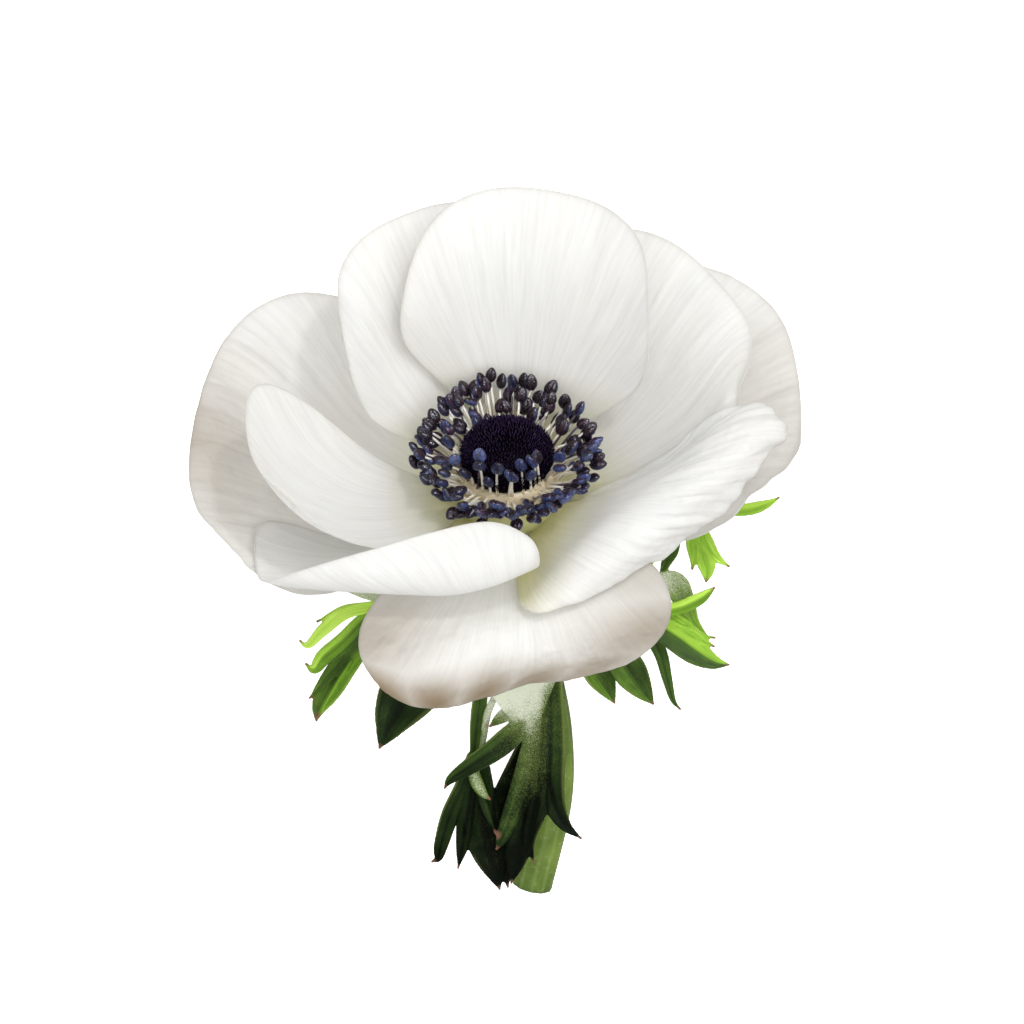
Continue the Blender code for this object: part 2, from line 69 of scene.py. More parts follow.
# Petals, in the words of the part's source. Each starts at a height and azimuth of the head. Its rise
# is the slope of its midrib and its cup how far its sides curl up, both in degrees at even steps along
# it. It twists about its midrib, sways round the head, and may fold over: where that begins, which way
# the fold faces, its radius and how far it turns. broad is where it reaches its full width, square
# how blunt its outline is, and skew how much one side is longer. A pull moves the blade round one
# place: the place from -1 to 1 across and along, its reach, and the move to the photograph's right,
# up and towards the camera.
Petal = namedtuple("Petal", "height azimuth length width rise cup twist sway roll broad square skew"
                   " pulls", defaults=((0, 0), 0, None, 0.6, 2.5, 0, ()))
CLAW_SHARE = 0.26
CLAW_RADIUS = 5.4
PETALS = {
    "petal_back": Petal(1.7, 77, 38, 40.5, (17, 62, 62, 43), (15, 55, 40), (3, 0), square=2.3),
    "petal_back_left": Petal(0.7, 120, 38, 40, (4, 50, 66, 40), (10, 50, 30), (8, 4), broad=0.65,
                             square=2.3),
    "petal_left": Petal(1.1, 201, 41.5, 28, (7, 20, 54, 68), (10, 38, 60), (4, 8), -10, broad=0.7,
                        pulls=[(-1, -0.1, 0.8, 3.3, -1.1, 0), (-0.5, 1, 0.6, 0, 2.1, 0),
                               (1, 0.7, 0.7, -3.3, -0.8, 0)]),
    "petal_front_left": Petal(-0.1, 230, 30.5, 42, (8, 8, 8, 8), (5, 5, 10), (14, 9),
                              roll=(0.58, 44, 5, 125), broad=0.4,
                              pulls=[(1, 1, 0.7, -1.4, -5.5, 0), (-0.3, 1, 0.5, -5.2, 0.6, 0),
                                     (-1, -0.3, 0.6, 3.4, -6.9, 0), (0.4, -0.1, 0.5, 0, -1.7, 0),
                                     (-1, 1, 0.5, -1.8, 2, 0)]),
    "petal_right_front": Petal(-1.2, 337, 32, 31, (16, 28, 27, 24), (10, 15, 15), (0, -9),
                               roll=(0.46, -44, 5, -98), broad=0.5, square=2.3, skew=0.19,
                               pulls=[(-1, -0.6, 0.55, -1.1, -5.5, 0), (0.4, 1, 1, 0.4, 6.2, 8),
                                      (-0.8, 1, 0.5, 0, 3.9, 0), (1, -0.3, 0.6, 0.4, -3.6, 0)]),
    "petal_back_right": Petal(-1.3, 32, 38.5, 43, (2, 40, 54, 30), (8, 40, 30), (14, 10),
                              pulls=[(-1, 0.7, 0.6, -2.5, 3.9, -4)]),
    "petal_left_outer": Petal(-2.5, 169, 41, 49, (-6, 12, 38, 0), (5, 20, 10), (-4, -8)),
    "petal_right_outer": Petal(-2.5, 26, 39, 45, (-4, 18, 34, 12), (5, 25, 10), (14, 12),
                               pulls=[(-1, 0.3, 0.7, -3, 1.1, -4), (0.3, 1, 0.7, 2.8, 0.5, 0)]),
    "petal_front": Petal(-2.6, 269, 28.5, 43, (-10, -2, 0, 0), (10, 10, 0), (0, -6),
                         roll=(0.5, 15, 9, -100),
                         pulls=[(-1, 0.6, 0.7, 0.8, -2.6, 0), (1, 0.6, 0.9, 1.4, 3.6, 0),
                                (0.2, 1, 0.6, 0, 1.9, 0), (1, -0.3, 0.5, 0.6, 3, 0),
                                (-1, -0.2, 0.5, 2.4, 0.3, 0)]),
}

# Overlapping petals are pushed apart on coarse grids, a share of the way in each round. Each round
# also evens out their moves, less so in the late rounds.
PLAIN_CELLS = 12
FOLDED_CELLS = 14
PETAL_SPACING = 1.2
SEARCH_REACH = 6
SETTLE_ROUNDS = 40
LATE_ROUND = 28
PUSH_SHARE = 0.5
EVEN_SHARE = 0.4
LATE_EVEN_SHARE = 0.1

BLADE_CELLS = 144
BLADE_THICKNESS = 0.36
MIDRIB_STEPS = 60
CREASE_SEED = 100

# How each petal is creased, as heights in millimetres: its ridges, its longer waves, the puckers
# between them and its margin's ruffle.
Crease = namedtuple("Crease", "ridge wave pucker ruffle")
CREASES = {
    "petal_back": Crease(0.03, 0.14, 0.0, 0.3),
    "petal_back_left": Crease(0.06, 0.22, 0.02, 0.35),
    "petal_left": Crease(0.03, 0.12, 0.01, 0.15),
    "petal_front_left": Crease(0.02, 0.06, 0.01, 0.12),
    "petal_right_front": Crease(0.27, 0.42, 0.1, 0.35),
    "petal_back_right": Crease(0.09, 0.28, 0.02, 0.35),
    "petal_left_outer": Crease(0.3, 0.5, 0.07, 0.5),
    "petal_right_outer": Crease(0.2, 0.4, 0.05, 0.5),
    "petal_front": Crease(0.08, 0.26, 0.16, 0.25),
}

# Painted shade on the petals: beige-brown spots that stand in for the shade on drooping and overshadowed
# parts.
# Each spot's place from -1 to 1 across and along, reach and strength.
PAINTED_SHADE_SPOTS = {
    "petal_left_outer": [(0.3, 1, 0.55, 0.5), (-0.2, 1, 0.4, 0.25), (0.2, 0.3, 0.5, 0.15)],
    "petal_right_outer": [(-0.4, 0.8, 0.8, 0.22)],
    "petal_back_right": [(-0.8, 0, 0.6, 0.12)],
    "petal_front": [(-1, 0.3, 0.5, 0.6), (-0.9, 0.93, 0.35, 0.95), (-0.5, 0.93, 0.3, 1),
                    (-0.1, 0.95, 0.3, 1), (0.3, 0.95, 0.3, 0.85), (0.7, 0.9, 0.35, 0.75),
                    (0.9, 0.5, 0.45, 0.7), (0.95, -0.1, 0.45, 0.45)],
    "petal_right_front": [(0.6, 1, 0.5, 0.12)],
    "petal_back_left": [(-1, 0.6, 0.3, 0.12)],
}

PISTIL_RADIUS = 6.2
PISTIL_HEIGHT = 3.6
PISTIL_MIDDLE = 6.6
STYLE_COUNT = 1700
STYLE_RADIUS = 0.1
STYLE_SEED = 3

# Whorls of stamens: how many, then how far out and how high their anthers are at the back, at the
# sides and at the front of the head. Inner ones at the front stand up and lean over the pistil.
Whorl = namedtuple("Whorl", "count back side front")
WHORLS = [Whorl(54, (11.6, 9.8), (12.2, 8.2), (11.8, 9.2)),
          Whorl(52, (10.7, 9.2), (11.4, 9.9), (11.4, 8.6)),
          Whorl(48, (9.6, 8.5), (10.2, 8.6), (11.2, 7.3)),
          Whorl(38, (8.5, 7.6), (9.0, 9.0), (6.2, 11.2))]

# How far an anther strays outwards and upwards, how much it leans aside, between which sizes it is,
# and the share of stamens missing at the back.
STRAY = (0.7, 0.8)
LEAN_SPREAD = 0.24
ANTHER_SIZES = (0.92, 1.16)
BACK_GAPS = 0.25
STAMEN_SEED = 11

# How far out and how high the filaments of the outermost whorl spring, and the step to the next
# whorl's. Then their radius at the foot and at the anther.
FILAMENT_FOOT = (7.2, 3.9)
FOOT_STEP = (-0.3, 0.7)
FILAMENT_RADII = (0.23, 0.15)
FILAMENT_STEPS = 11
FILAMENT_SIDES = 8
ANTHER_LENGTH = 2.2
ANTHER_WIDTH = 1.75
ANTHER_DEPTH = 1.3

# The receptacle's side and the cream slope on it, as how far out and how high.
RIM_PROFILE = [(5.2, -3.6), (5.9, -3.3), (7.0, -1.5), (7.6, 0.5), (7.6, 2.2), (7.3, 3.4), (7.3, 4.7),
               (6.9, 5.6), (6.4, 6.2), (5.9, 6.4), (5.4, 6.2), (5.2, 2.0)]
RIM_BUMPS = 0.08
RIM_SIDES = 96
RIM_SEED = 5

STEM_RADIUS = 3.0
STEM_SIDES = 72
STEM_RIBS = 11
RECEPTACLE_RADIUS = 5.0
RECEPTACLE_TOP = 5.0
RECEPTACLE_FOOT = -3.4
STEM_LINE = [(0, 5.4, -4.5), (0.4, 12, -10.2), (2.2, 19.5, -17.3), (4.6, 24, -25.5),
             (6.4, 28.6, -35), (6.4, 32.7, -45), (3.6, 37.2, -57.6)]

# The bracts' lobes. Each is a strip along a line of points, given as the pixel of the photograph and
# how far behind the stem frame's origin it lies, with its width, how light its green is at its root
# and tip, partly its own green and partly painted shade, how much pale down it has at its root and
# tip, partly a painted sheen, where along it is widest, and how much lighter one half is than the
# other, a painted shade on one half.
Lobe = namedtuple("Lobe", "line width tone frost widest half", defaults=((0.6, 0.6), (0, 0), 0.4, 0))
BRACTS = {
    "bract_left": [
        Lobe([(481, 615, 18.2), (442, 606, 17), (400, 608, 16.2), (372, 612, 15.6)], 5.4, (0.5, 0.6)),
        Lobe([(425, 600, 16.2), (392, 596, 15), (366, 594, 14.4), (343, 590, 14)], 2.2, (0.9, 0.9),
             (1.2, 1.2)),
        Lobe([(402, 600, 16), (370, 607, 15.4), (345, 613, 15), (323, 630, 15), (308, 645, 15.2),
              (299, 640, 15.4)], 1.95, (1.2, 1.25), (0, 0), 0.5),
        Lobe([(362, 605, 15.5), (340, 611, 15.2), (316, 622, 15.4)], 1.3, (0.9, 0.8)),
        Lobe([(395, 602, 16.6), (366, 618, 16.2), (344, 640, 16.2), (324, 657, 16.6), (314, 669, 16.8),
              (305, 663, 17)], 2.5, (0.55, 1.0), (0.4, 0.0), 0.55, 0.15),
        Lobe([(392, 612, 16.8), (362, 643, 17), (343, 667, 17.6), (328, 691, 18.4), (319, 708, 18.9),
              (316, 722, 19)], 4.0, (0.5, 0.6), (0.15, 0.1), 0.5, -0.1),
        Lobe([(352, 660, 16.5), (339, 680, 17.1), (327, 701, 17.9), (319, 717, 18.5)], 0.5, (0.9, 0.9),
             (0.5, 0.4)),
        Lobe([(345, 655, 17.4), (328, 676, 17.8), (309, 699, 18.2)], 2.0, (0.5, 0.55)),
        Lobe([(463, 620, 18), (437, 655, 19), (410, 690, 20.5), (396, 712, 21.5), (387, 731, 22),
              (379, 749, 22.2)], 9.4, (0.17, 0.2), (0, 0), 0.25)],
    "bract_right": [
        Lobe([(561, 624, 18.6), (598, 616, 17.4), (628, 592, 16.6), (644, 574, 16)], 5.0, (0.4, 0.5)),
        Lobe([(630, 575, 16.4), (664, 538, 14.4), (700, 516, 12.4), (728, 511, 11.4), (750, 509, 10.8),
              (767, 504, 10.4), (780, 497, 10)], 1.8, (0.9, 1.0), (0, 0), 0.7, -0.1),
        Lobe([(636, 578, 16.4), (664, 540, 15), (694, 523, 14.2), (702, 550, 14.2), (707, 568, 14.4),
              (706, 583, 14.6)], 2.6, (0.8, 0.95), (0, 0), 0.75),
        Lobe([(690, 526, 14.4), (693, 543, 14.3), (694, 557, 14.3), (692, 570, 14.6)], 2.1, (0.85, 0.95)),
        Lobe([(699, 522, 14), (705, 540, 14.1), (715, 556, 14.3), (730, 567, 14.6)], 2.2, (0.9, 1.05)),
        Lobe([(648, 600, 16.8), (662, 585, 15.8), (676, 586, 15.6), (685, 603, 16.4), (694, 622, 17.4),
              (709, 638, 18)], 3.8, (0.75, 0.75), (1.6, 0.1), 0.35),
        Lobe([(677, 534, 14.6), (672, 549, 15), (666, 563, 15.6), (659, 582, 16)], 2.1, (0.36, 0.4)),
        Lobe([(640, 612, 16.4), (660, 611, 15.4), (681, 607, 14.8), (699, 599, 14.4), (709, 592, 14.2),
              (715, 587, 14)], 2.0, (0.85, 0.95), (0, 0), 0.5, -0.25),
        Lobe([(648, 602, 17), (668, 612, 16.6), (686, 624, 16.6), (702, 635, 16.8), (716, 638, 17)], 1.4,
             (0.8, 0.85)),
        Lobe([(630, 614, 17.2), (652, 623, 16.6), (676, 638, 16.4), (697, 653, 16.6), (714, 662, 17),
              (730, 665, 17.2)], 4.0, (0.53, 0.6), (0, 0), 0.5, -0.27),
        Lobe([(676, 626, 16.4), (697, 637, 16.6), (715, 647, 16.8)], 1.6, (0.8, 0.85)),
        Lobe([(618, 618, 17.6), (645, 630, 17.8), (660, 652, 18.4), (667, 678, 19.4), (673, 700, 20.4),
              (681, 710, 20.8)], 2.2, (0.38, 0.4), (0.1, 0), 0.25),
        Lobe([(600, 622, 18), (614, 646, 18.6), (629, 670, 19.8), (642, 689, 21), (654, 705, 21.8)], 4.9,
             (0.38, 0.42), (0.2, 0.1), 0.5, 0.08),
        Lobe([(578, 626, 18.4), (588, 650, 19.2), (598, 671, 20.4), (607, 688, 21.4), (615, 704, 22)],
             4.4, (0.38, 0.48), (0.2, 0.1), 0.5, 0.08)],
    "bract_front": [
        Lobe([(521, 622, 14.8), (520, 665, 14.6), (524, 700, 15), (532, 738, 16.6)], 11.8, (0.5, 0.4),
             (2.7, 0.95), 0.3),
        Lobe([(498, 640, 15.5), (495, 680, 15.7), (500, 700, 15.9)], 3.4, (0.5, 0.5), (1.8, 1.3)),
        Lobe([(486, 640, 15.8), (481, 690, 16.4), (477, 725, 17.4), (474, 752, 18.6), (468, 780, 20)],
             2.2, (0.4, 0.3)),
        Lobe([(504, 680, 15.4), (488, 712, 16), (482, 745, 17.4), (471, 766, 18.6)], 1.1, (0.6, 0.5),
             (1.2, 0.9)),
        Lobe([(522, 704, 15.6), (502, 717, 15.6), (489, 727, 15.6)], 2.0, (0.45, 0.35), (1.2, 0.2)),
        Lobe([(534, 712, 16), (514, 733, 15.4), (494, 750, 15.4), (470, 766, 16), (451, 779, 16.8),
              (444, 789, 17.4)], 3.4, (0.3, 0.18), (0.95, -1.1), 0.3, 0.06),
        Lobe([(536, 715, 16), (531, 750, 17), (523, 785, 18.8), (510, 820, 21), (501, 840, 22.2),
              (496, 850, 22.8)], 3.5, (0.3, 0.2), (0.85, -0.3)),
        Lobe([(538, 720, 16.4), (534, 770, 18.2), (525, 820, 21.6), (516, 858, 24), (511, 884, 25.6)],
             4.2, (0.3, -0.15), (0.85, -0.9), 0.6),
        Lobe([(546, 720, 16.4), (545, 765, 18), (537, 810, 20.8), (529, 840, 22.8), (534, 863, 24)],
             3.1, (0.3, -0.15), (0.85, -1.0)),
        Lobe([(551, 650, 15.2), (550, 700, 15.8), (550, 745, 17.3), (550, 775, 18.8), (554, 803, 20.6),
              (565, 825, 22), (582, 839, 22.8)], 4.6, (0.37, -0.05), (0.4, -0.4)),
        Lobe([(473, 754, 18.8), (463, 785, 20), (450, 815, 22), (441, 845, 24.4), (438, 858, 25.4),
              (431, 862, 25.6)], 2.6, (0.32, 0.0), (0.1, -0.2)),
        Lobe([(475, 764, 19.4), (469, 805, 21.6), (463, 842, 24.4), (458, 869, 26)], 3.0, (0.2, 0.0)),
        Lobe([(478, 764, 19.6), (481, 810, 22.4), (489, 850, 25.4), (500, 890, 28)], 5.6, (0.15, 0.0),
             (0, 0), 0.6),
        Lobe([(472, 756, 18.2), (475, 778, 18.8), (483, 793, 19.2), (491, 800, 19.2)], 1.9, (0.6, 0.45),
             (1.0, 0.8)),
        Lobe([(478, 788, 20), (486, 811, 21), (496, 834, 22)], 1.2, (0.35, 0.3), (0.2, 0)),
        Lobe([(534, 735, 18.2), (518, 775, 20.4), (505, 812, 23), (503, 850, 26), (508, 888, 28)], 5.2,
             (0.03, 0.0), (0, 0), 0.6)],
}

# How thick the bracts are, how deeply their lobes are channelled, and the size of the voxels that the
# lobes are grown together in. Then how finely a lobe is cut along and across.
BRACT_THICKNESS = 0.62
BRACT_CHANNEL = 0.3
BRACT_VOXEL = 0.17
LOBE_STEPS = 40
LOBE_CELLS = 10


# Frames

def turn_matrix(degrees, axis):
    """A turn about an axis as a 3 by 3 array."""
    return np.array(Matrix.Rotation(math.radians(degrees), 3, axis))


LIE = turn_matrix(LIE_ROLL, "Y") @ turn_matrix(LIE_PITCH, "X")
NOD = turn_matrix(HEAD_NOD, "X")

# The photograph's right, up and towards the camera, in the head's frame.
PHOTO_AXES = np.array([(1, 0, 0), (0, 0, 1), (0, -1, 0)]) @ NOD


def from_stem(points):
    """Points of the stem's frame in the row's frame, in metres."""
    return (np.asarray(points, float) @ LIE.T + np.array(LIE_PLACE)) * MM


def from_head(points):
    """Points of the head's frame in the row's frame, in metres."""
    return from_stem(np.asarray(points, float) @ NOD.T)


# Meshes

def dress(name, mesh, finish, node, marks):
    """Make a smooth-shaded piece of a mesh, tied to the frame, which stands for a node. marks are its
    point attributes: a name for each array of three values a point."""
    for mark, values in marks.items():
        layer = mesh.attributes.new(mark, "FLOAT_VECTOR", "POINT")
        layer.data.foreach_set("vector", np.asarray(values, np.float32).ravel())
    mesh.materials.clear()
    mesh.materials.append(finish)
    mesh.shade_smooth()
    piece = bpy.data.objects.new(name, mesh)
    bpy.context.scene.collection.objects.link(piece)
    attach(piece, "root")
    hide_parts(node)


def new_piece(name, points, faces, finish, node, marks):
    """Make a piece from points in metres and faces."""
    mesh = bpy.data.meshes.new(name)
    mesh.from_pydata(np.asarray(points).tolist(), [], faces)
    dress(name, mesh, finish, node, marks)


def grid_faces(rows, columns):
    """The faces of a grid of points, seen from its upper side."""
    return [(corner, corner + 1, corner + columns + 1, corner + columns)
            for row in range(rows - 1)
            for corner in range(row * columns, (row + 1) * columns - 1)]


def sheet_faces(rows, columns):
    """The faces of a thin closed sheet, whose points are an upper grid and then a lower one."""
    count = rows * columns
    top = grid_faces(rows, columns)
    under = [tuple(corner + count for corner in reversed(face)) for face in top]
    loop = ([row * columns for row in range(rows - 1)]
            + [(rows - 1) * columns + column for column in range(columns - 1)]
            + [row * columns + columns - 1 for row in range(rows - 1, 0, -1)]
            + list(range(columns - 1, 0, -1)))
    edge = [(a, b, b + count, a + count) for a, b in zip(loop, loop[1:] + loop[:1])]
    return top + under + edge


# Numbers

def unit(vectors):
    """Vectors of the same directions, one unit long."""
    return vectors / np.linalg.norm(vectors, axis=-1, keepdims=True)


def turns(around):
    """Evenly spaced angles round a circle."""
    return np.arange(around) / around * math.tau


def smooth_step(low, high, value):
    """0 below low, 1 above high, and a smooth rise between."""
    share = np.clip((value - low) / (high - low), 0, 1)
    return share * share * (3 - 2 * share)


def between(a, b, c, d, t):
    """A point of the smooth curve from b to c, between their neighbours a and d."""
    return 0.5 * (2 * b + (c - a) * t + (2 * a - 5 * b + 4 * c - d) * t * t
                  + (3 * b - a - 3 * c + d) * t ** 3)


def noise(x, y, seed):
    """Smooth random values from -1 to 1 over a plane, with features a unit across."""
    table = np.random.default_rng(seed).uniform(-1, 1, (NOISE_CELLS, NOISE_CELLS))
    cell_x = np.floor(x).astype(int)
    cell_y = np.floor(y).astype(int)
    part_x = smooth_step(0, 1, x - cell_x)
    part_y = smooth_step(0, 1, y - cell_y)

    def row(above):
        here = (cell_y + above) % NOISE_CELLS
        return (table[cell_x % NOISE_CELLS, here] * (1 - part_x)
                + table[(cell_x + 1) % NOISE_CELLS, here] * part_x)

    return row(0) * (1 - part_y) + row(1) * part_y


# Petals

def through(values, share):
    """The polynomial through evenly spaced values, read at a share from 0 to 1."""
    knots = np.linspace(0, 1, len(values))
    return np.polyval(np.polyfit(knots, values, len(values) - 1), share)


def petal_sheet(petal, along, across):
    """The petal without its fold: where points of the flat blade go in the head's frame."""
    share = np.linspace(0, 1, MIDRIB_STEPS + 1)
    rise = np.radians(through(petal.rise, share))
    turn = np.radians(petal.azimuth + petal.sway * share)
    twist = np.radians(through(petal.twist, share))
    rib = np.stack([np.cos(rise) * np.cos(turn), np.cos(rise) * np.sin(turn), np.sin(rise)], 1)
    level = np.stack([-np.sin(turn), np.cos(turn), 0 * turn], 1)
    upright = np.cross(rib, level)
    side = np.cos(twist)[:, None] * level + np.sin(twist)[:, None] * upright
    lift = np.cos(twist)[:, None] * upright - np.sin(twist)[:, None] * level
    azimuth = math.radians(petal.azimuth)
    start = np.array([CLAW_RADIUS * math.cos(azimuth), CLAW_RADIUS * math.sin(azimuth), petal.height])
    step = (rib[1:] + rib[:-1]) / 2 * petal.length / MIDRIB_STEPS
    place = np.vstack([start, start + np.cumsum(step, 0)])
    where = along / petal.length

    def read(values):
        return np.stack([np.interp(where, share, values[:, k]) for k in range(3)], -1)

    bend = np.radians(through(petal.cup, np.clip(where, 0, 1))) * across / (petal.width / 2)
    flat = np.abs(bend) < 1e-4
    safe = np.where(flat, 1, bend)
    out = np.where(flat, across, across * np.sin(safe) / safe)
    up = np.where(flat, across * bend / 2, across * (1 - np.cos(safe)) / safe)
    return read(place) + out[..., None] * read(side) + up[..., None] * read(lift)


def flat_blade(petal, u, v):
    """The flat blade at square coordinates from -1 to 1, across and along: how far each point is
    from the claw, how far beside the midrib, and how near the margin, 1 at the margin."""
    across = u * np.sqrt(1 - v * v / 2)
    along = v * np.sqrt(1 - u * u / 2)
    turn = np.arctan2(across, along)
    blunt = np.abs(np.sin(turn)) ** petal.square + np.abs(np.cos(turn)) ** petal.square
    grow = blunt ** (-1 / petal.square)
    share = (1 + along * grow) / 2
    widen = CLAW_SHARE + (1 - CLAW_SHARE) * np.sin(np.clip(share / petal.broad, 0, 1) * math.pi / 2)
    p = petal.length * (share + petal.skew * across * grow)
    q = across * grow * petal.width / 2 * widen
    return p, q, np.hypot(across, along)


def folded_sheet(petal, p, q):
    """The petal with its fold: where points of the flat blade go in the head's frame."""
    begin, aim, radius, most = petal.roll
    ahead_p = math.cos(math.radians(aim))
    ahead_q = math.sin(math.radians(aim))
    beyond = np.clip((p - begin * petal.length) * ahead_p + q * ahead_q, 0, None)
    foot_p = p - beyond * ahead_p
    foot_q = q - beyond * ahead_q
    foot = petal_sheet(petal, foot_p, foot_q)
    tiny = 0.05
    ahead = unit(petal_sheet(petal, foot_p + tiny * ahead_p, foot_q + tiny * ahead_q) - foot)
    beside = petal_sheet(petal, foot_p - tiny * ahead_q, foot_q + tiny * ahead_p) - foot
    normal = unit(np.cross(ahead, beside))
    arc = radius * math.radians(abs(most))
    angle = np.minimum(beyond, arc) / radius
    rest = np.clip(beyond - arc, 0, None)
    out = radius * np.sin(angle) + rest * np.cos(angle)
    up = math.copysign(1, most) * (radius * (1 - np.cos(angle)) + rest * np.sin(angle))
    return foot + out[..., None] * ahead + up[..., None] * normal


def nearness(u, v, at_u, at_v, reach):
    """How near square coordinates are to a place: 1 there, fading over a reach."""
    return np.exp(-((u - at_u) ** 2 + (v - at_v) ** 2) / reach ** 2)


def petal_surface(petal, u, v):
    """The petal's middle surface at square coordinates, moved by its pulls."""
    p, q, _ = flat_blade(petal, u, v)
    points = petal_sheet(petal, p, q) if petal.roll is None else folded_sheet(petal, p, q)
    for at_u, at_v, reach, right, up, towards in petal.pulls:
        share = nearness(u, v, at_u, at_v, reach)
        points = points + share[..., None] * (np.array([right, up, towards]) @ PHOTO_AXES)
    return points


def square_grid(cells):
    """Square coordinates of a grid with that many cells each way."""
    steps = np.linspace(-1, 1, cells + 1)
    return np.meshgrid(steps, steps, indexing="ij")


def push_off(points, tree, above):
    """How far each point has to move to stay on its side of another blade. Points that lie beside
    the blade, not over or under it, stay."""
    push = np.zeros_like(points)
    wanted = PETAL_SPACING if above else -PETAL_SPACING
    for index in np.ndindex(points.shape[:2]):
        point = Vector(points[index])
        foot, normal, _, _ = tree.find_nearest(point, SEARCH_REACH)
        if foot is None:
            continue
        height = (point - foot).dot(normal)
        beside = (point - foot - normal * height).length
        short = wanted - height
        if beside < 0.3 + 0.6 * abs(height) and (short > 0) == above:
            push[index] = normal * short
    return push


def settle(blades):
    """How far overlapping petals move apart, each one lying over those that come after it."""
    names = list(blades)
    shifts = {name: np.zeros_like(blades[name]) for name in names}
    for turn in range(SETTLE_ROUNDS):
        places = {name: blades[name] + shifts[name] for name in names}
        trees = {name: BVHTree.FromPolygons([Vector(point) for point in places[name].reshape(-1, 3)],
                                            grid_faces(*places[name].shape[:2])) for name in names}
        for rank, name in enumerate(names):
            shift = shifts[name]
            for other_rank, other in enumerate(names):
                if other != name:
                    shift += PUSH_SHARE * push_off(places[name], trees[other], rank < other_rank)
            padded = np.pad(shift, ((1, 1), (1, 1), (0, 0)), "edge")
            around = (padded[2:, 1:-1] + padded[:-2, 1:-1] + padded[1:-1, 2:] + padded[1:-1, :-2]) / 4
            shift += (EVEN_SHARE if turn < LATE_ROUND else LATE_EVEN_SHARE) * (around - shift)
    return shifts


def finer(grid, cells):
    """A coarse grid of points read smoothly at the points of a finer one."""
    for _ in range(2):
        count = len(grid)
        padded = np.concatenate([2 * grid[:1] - grid[1:2], grid, 2 * grid[-1:] - grid[-2:-1]])
        at = np.linspace(0, count - 1, cells + 1)
        cell = np.minimum(at.astype(int), count - 2)
        corners = (padded[cell + step] for step in range(4))
        grid = between(*corners, (at - cell)[:, None, None]).transpose(1, 0, 2)
    return grid


def blade_normals(points):
    """The upward unit normals of a grid of points."""
    return unit(np.cross(np.gradient(points, axis=1), np.gradient(points, axis=0)))


def crease(points, creases, p, q, rim, seed):
    """Add a petal's fine ridges, which fan out from the claw, its waves, puckers and ruffle."""
    fan = np.arctan2(q, p + 4)
    grown = smooth_step(6, 26, p)
    ridge = noise(fan * 27, p * 0.09, seed) + 0.5 * noise(fan * 49, p * 0.16, seed + 1)
    wave = noise(fan * 6, p * 0.06, seed + 2)
    pucker = noise(p * 0.75, q * 0.75, seed + 3) + 0.6 * noise(p * 1.5, q * 1.5, seed + 4)
    ruffle = noise(fan * 9 + p * 0.06, rim * 0, seed + 5) * smooth_step(0.7, 1, rim)
    height = (grown * (creases.ridge * ridge + creases.wave * wave + creases.pucker * pucker)
              + creases.ruffle * ruffle)
    return points + height[..., None] * blade_normals(points)


def make_petals(finish):
    """The petals, settled against each other."""
    coarse = {}
    for name, petal in PETALS.items():
        u, v = square_grid(PLAIN_CELLS if petal.roll is None else FOLDED_CELLS)
        coarse[name] = petal_surface(petal, u, v)
    shifts = settle(coarse)
    for rank, name in enumerate(PETALS):
        make_petal(name, shifts[name], finish, CREASE_SEED + 10 * rank)


def make_petal(name, shifts, finish, seed):
    """One petal as a thin closed blade with creases."""
    petal = PETALS[name]
    u, v = square_grid(BLADE_CELLS)
    p, q, rim = flat_blade(petal, u, v)
    middle = petal_surface(petal, u, v) + finer(shifts, BLADE_CELLS)
    middle = crease(middle, CREASES[name], p, q, rim, seed)
    half = BLADE_THICKNESS / 2 * (1 - 0.75 * rim ** 8)
    normal = blade_normals(middle) * half[..., None]
    points = np.concatenate([(middle + normal).reshape(-1, 3), (middle - normal).reshape(-1, 3)])
    marks = np.stack([np.arctan2(q, p + 4), p / petal.length, rim], -1).reshape(-1, 3)
    # Painted shade: how strongly each point turns beige-brown to stand in for shade, from the spots
    # above.
    painted_shade = np.zeros_like(p)
    for at_u, at_v, reach, strength in PAINTED_SHADE_SPOTS.get(name, ()):
        painted_shade = np.maximum(painted_shade, strength * nearness(u, v, at_u, at_v, reach))
    painted_shade_marks = np.stack([painted_shade, painted_shade, painted_shade], -1).reshape(-1, 3)
    new_piece(name + "_blade", from_head(points), sheet_faces(*u.shape), finish, name,
              {"blade": np.concatenate([marks, marks]), "painted_shade": np.concatenate([painted_shade_marks, painted_shade_marks])})


# Round forms

def band(low, high, around):
    """The faces between two rings of points, from the first point of each."""
    after = [(k + 1) % around for k in range(around)]
    return [(low + k, low + after[k], high + after[k], high + k) for k in range(around)]


def ring_faces(rings, around):
    """The faces of a tube of rings, each with as many points around, closed at both ends."""
    faces = []
    for ring in range(rings - 1):
        faces += band(ring * around, (ring + 1) * around, around)
    faces.append(tuple(range(around - 1, -1, -1)))
    faces.append(tuple((rings - 1) * around + k for k in range(around)))
    return faces


def tube(line, radii, around, ribs=1):
    """Points of a tube along a line, one ring for each point. ribs are factors of the radius."""
    ahead = unit(np.gradient(np.asarray(line, float), axis=0))
    side = np.cross(ahead[0], (0.3, 0.9, 0.2))
    turn = turns(around)
    points = []
    for place, direction, radius in zip(line, ahead, radii):
        side = unit(side - direction * side.dot(direction))
        other = np.cross(direction, side)
        reach = radius * ribs
        points.append(place + np.outer(np.cos(turn) * reach, side)
                      + np.outer(np.sin(turn) * reach, other))
    return np.concatenate(points)


class Pile:
    """Points, faces and marks of many small forms, gathered for one piece."""

    def __init__(self):
        self.points = []
        self.faces = []
        self.marks = []
        self.count = 0

    def add(self, points, faces, marks):
        """Put a form on the pile. marks are three values, for the form or for each point."""
        self.faces += [tuple(corner + self.count for corner in face) for face in faces]
        self.points.append(points)
        self.marks.append(np.broadcast_to(marks, points.shape))
        self.count += len(points)

    def piece(self, name, finish, slot, node):
        """Make a piece of the pile, whose points are in the head's frame."""
        new_piece(name, from_head(np.concatenate(self.points)), self.faces, finish, node,
                  {"tone": np.concatenate(self.marks)})


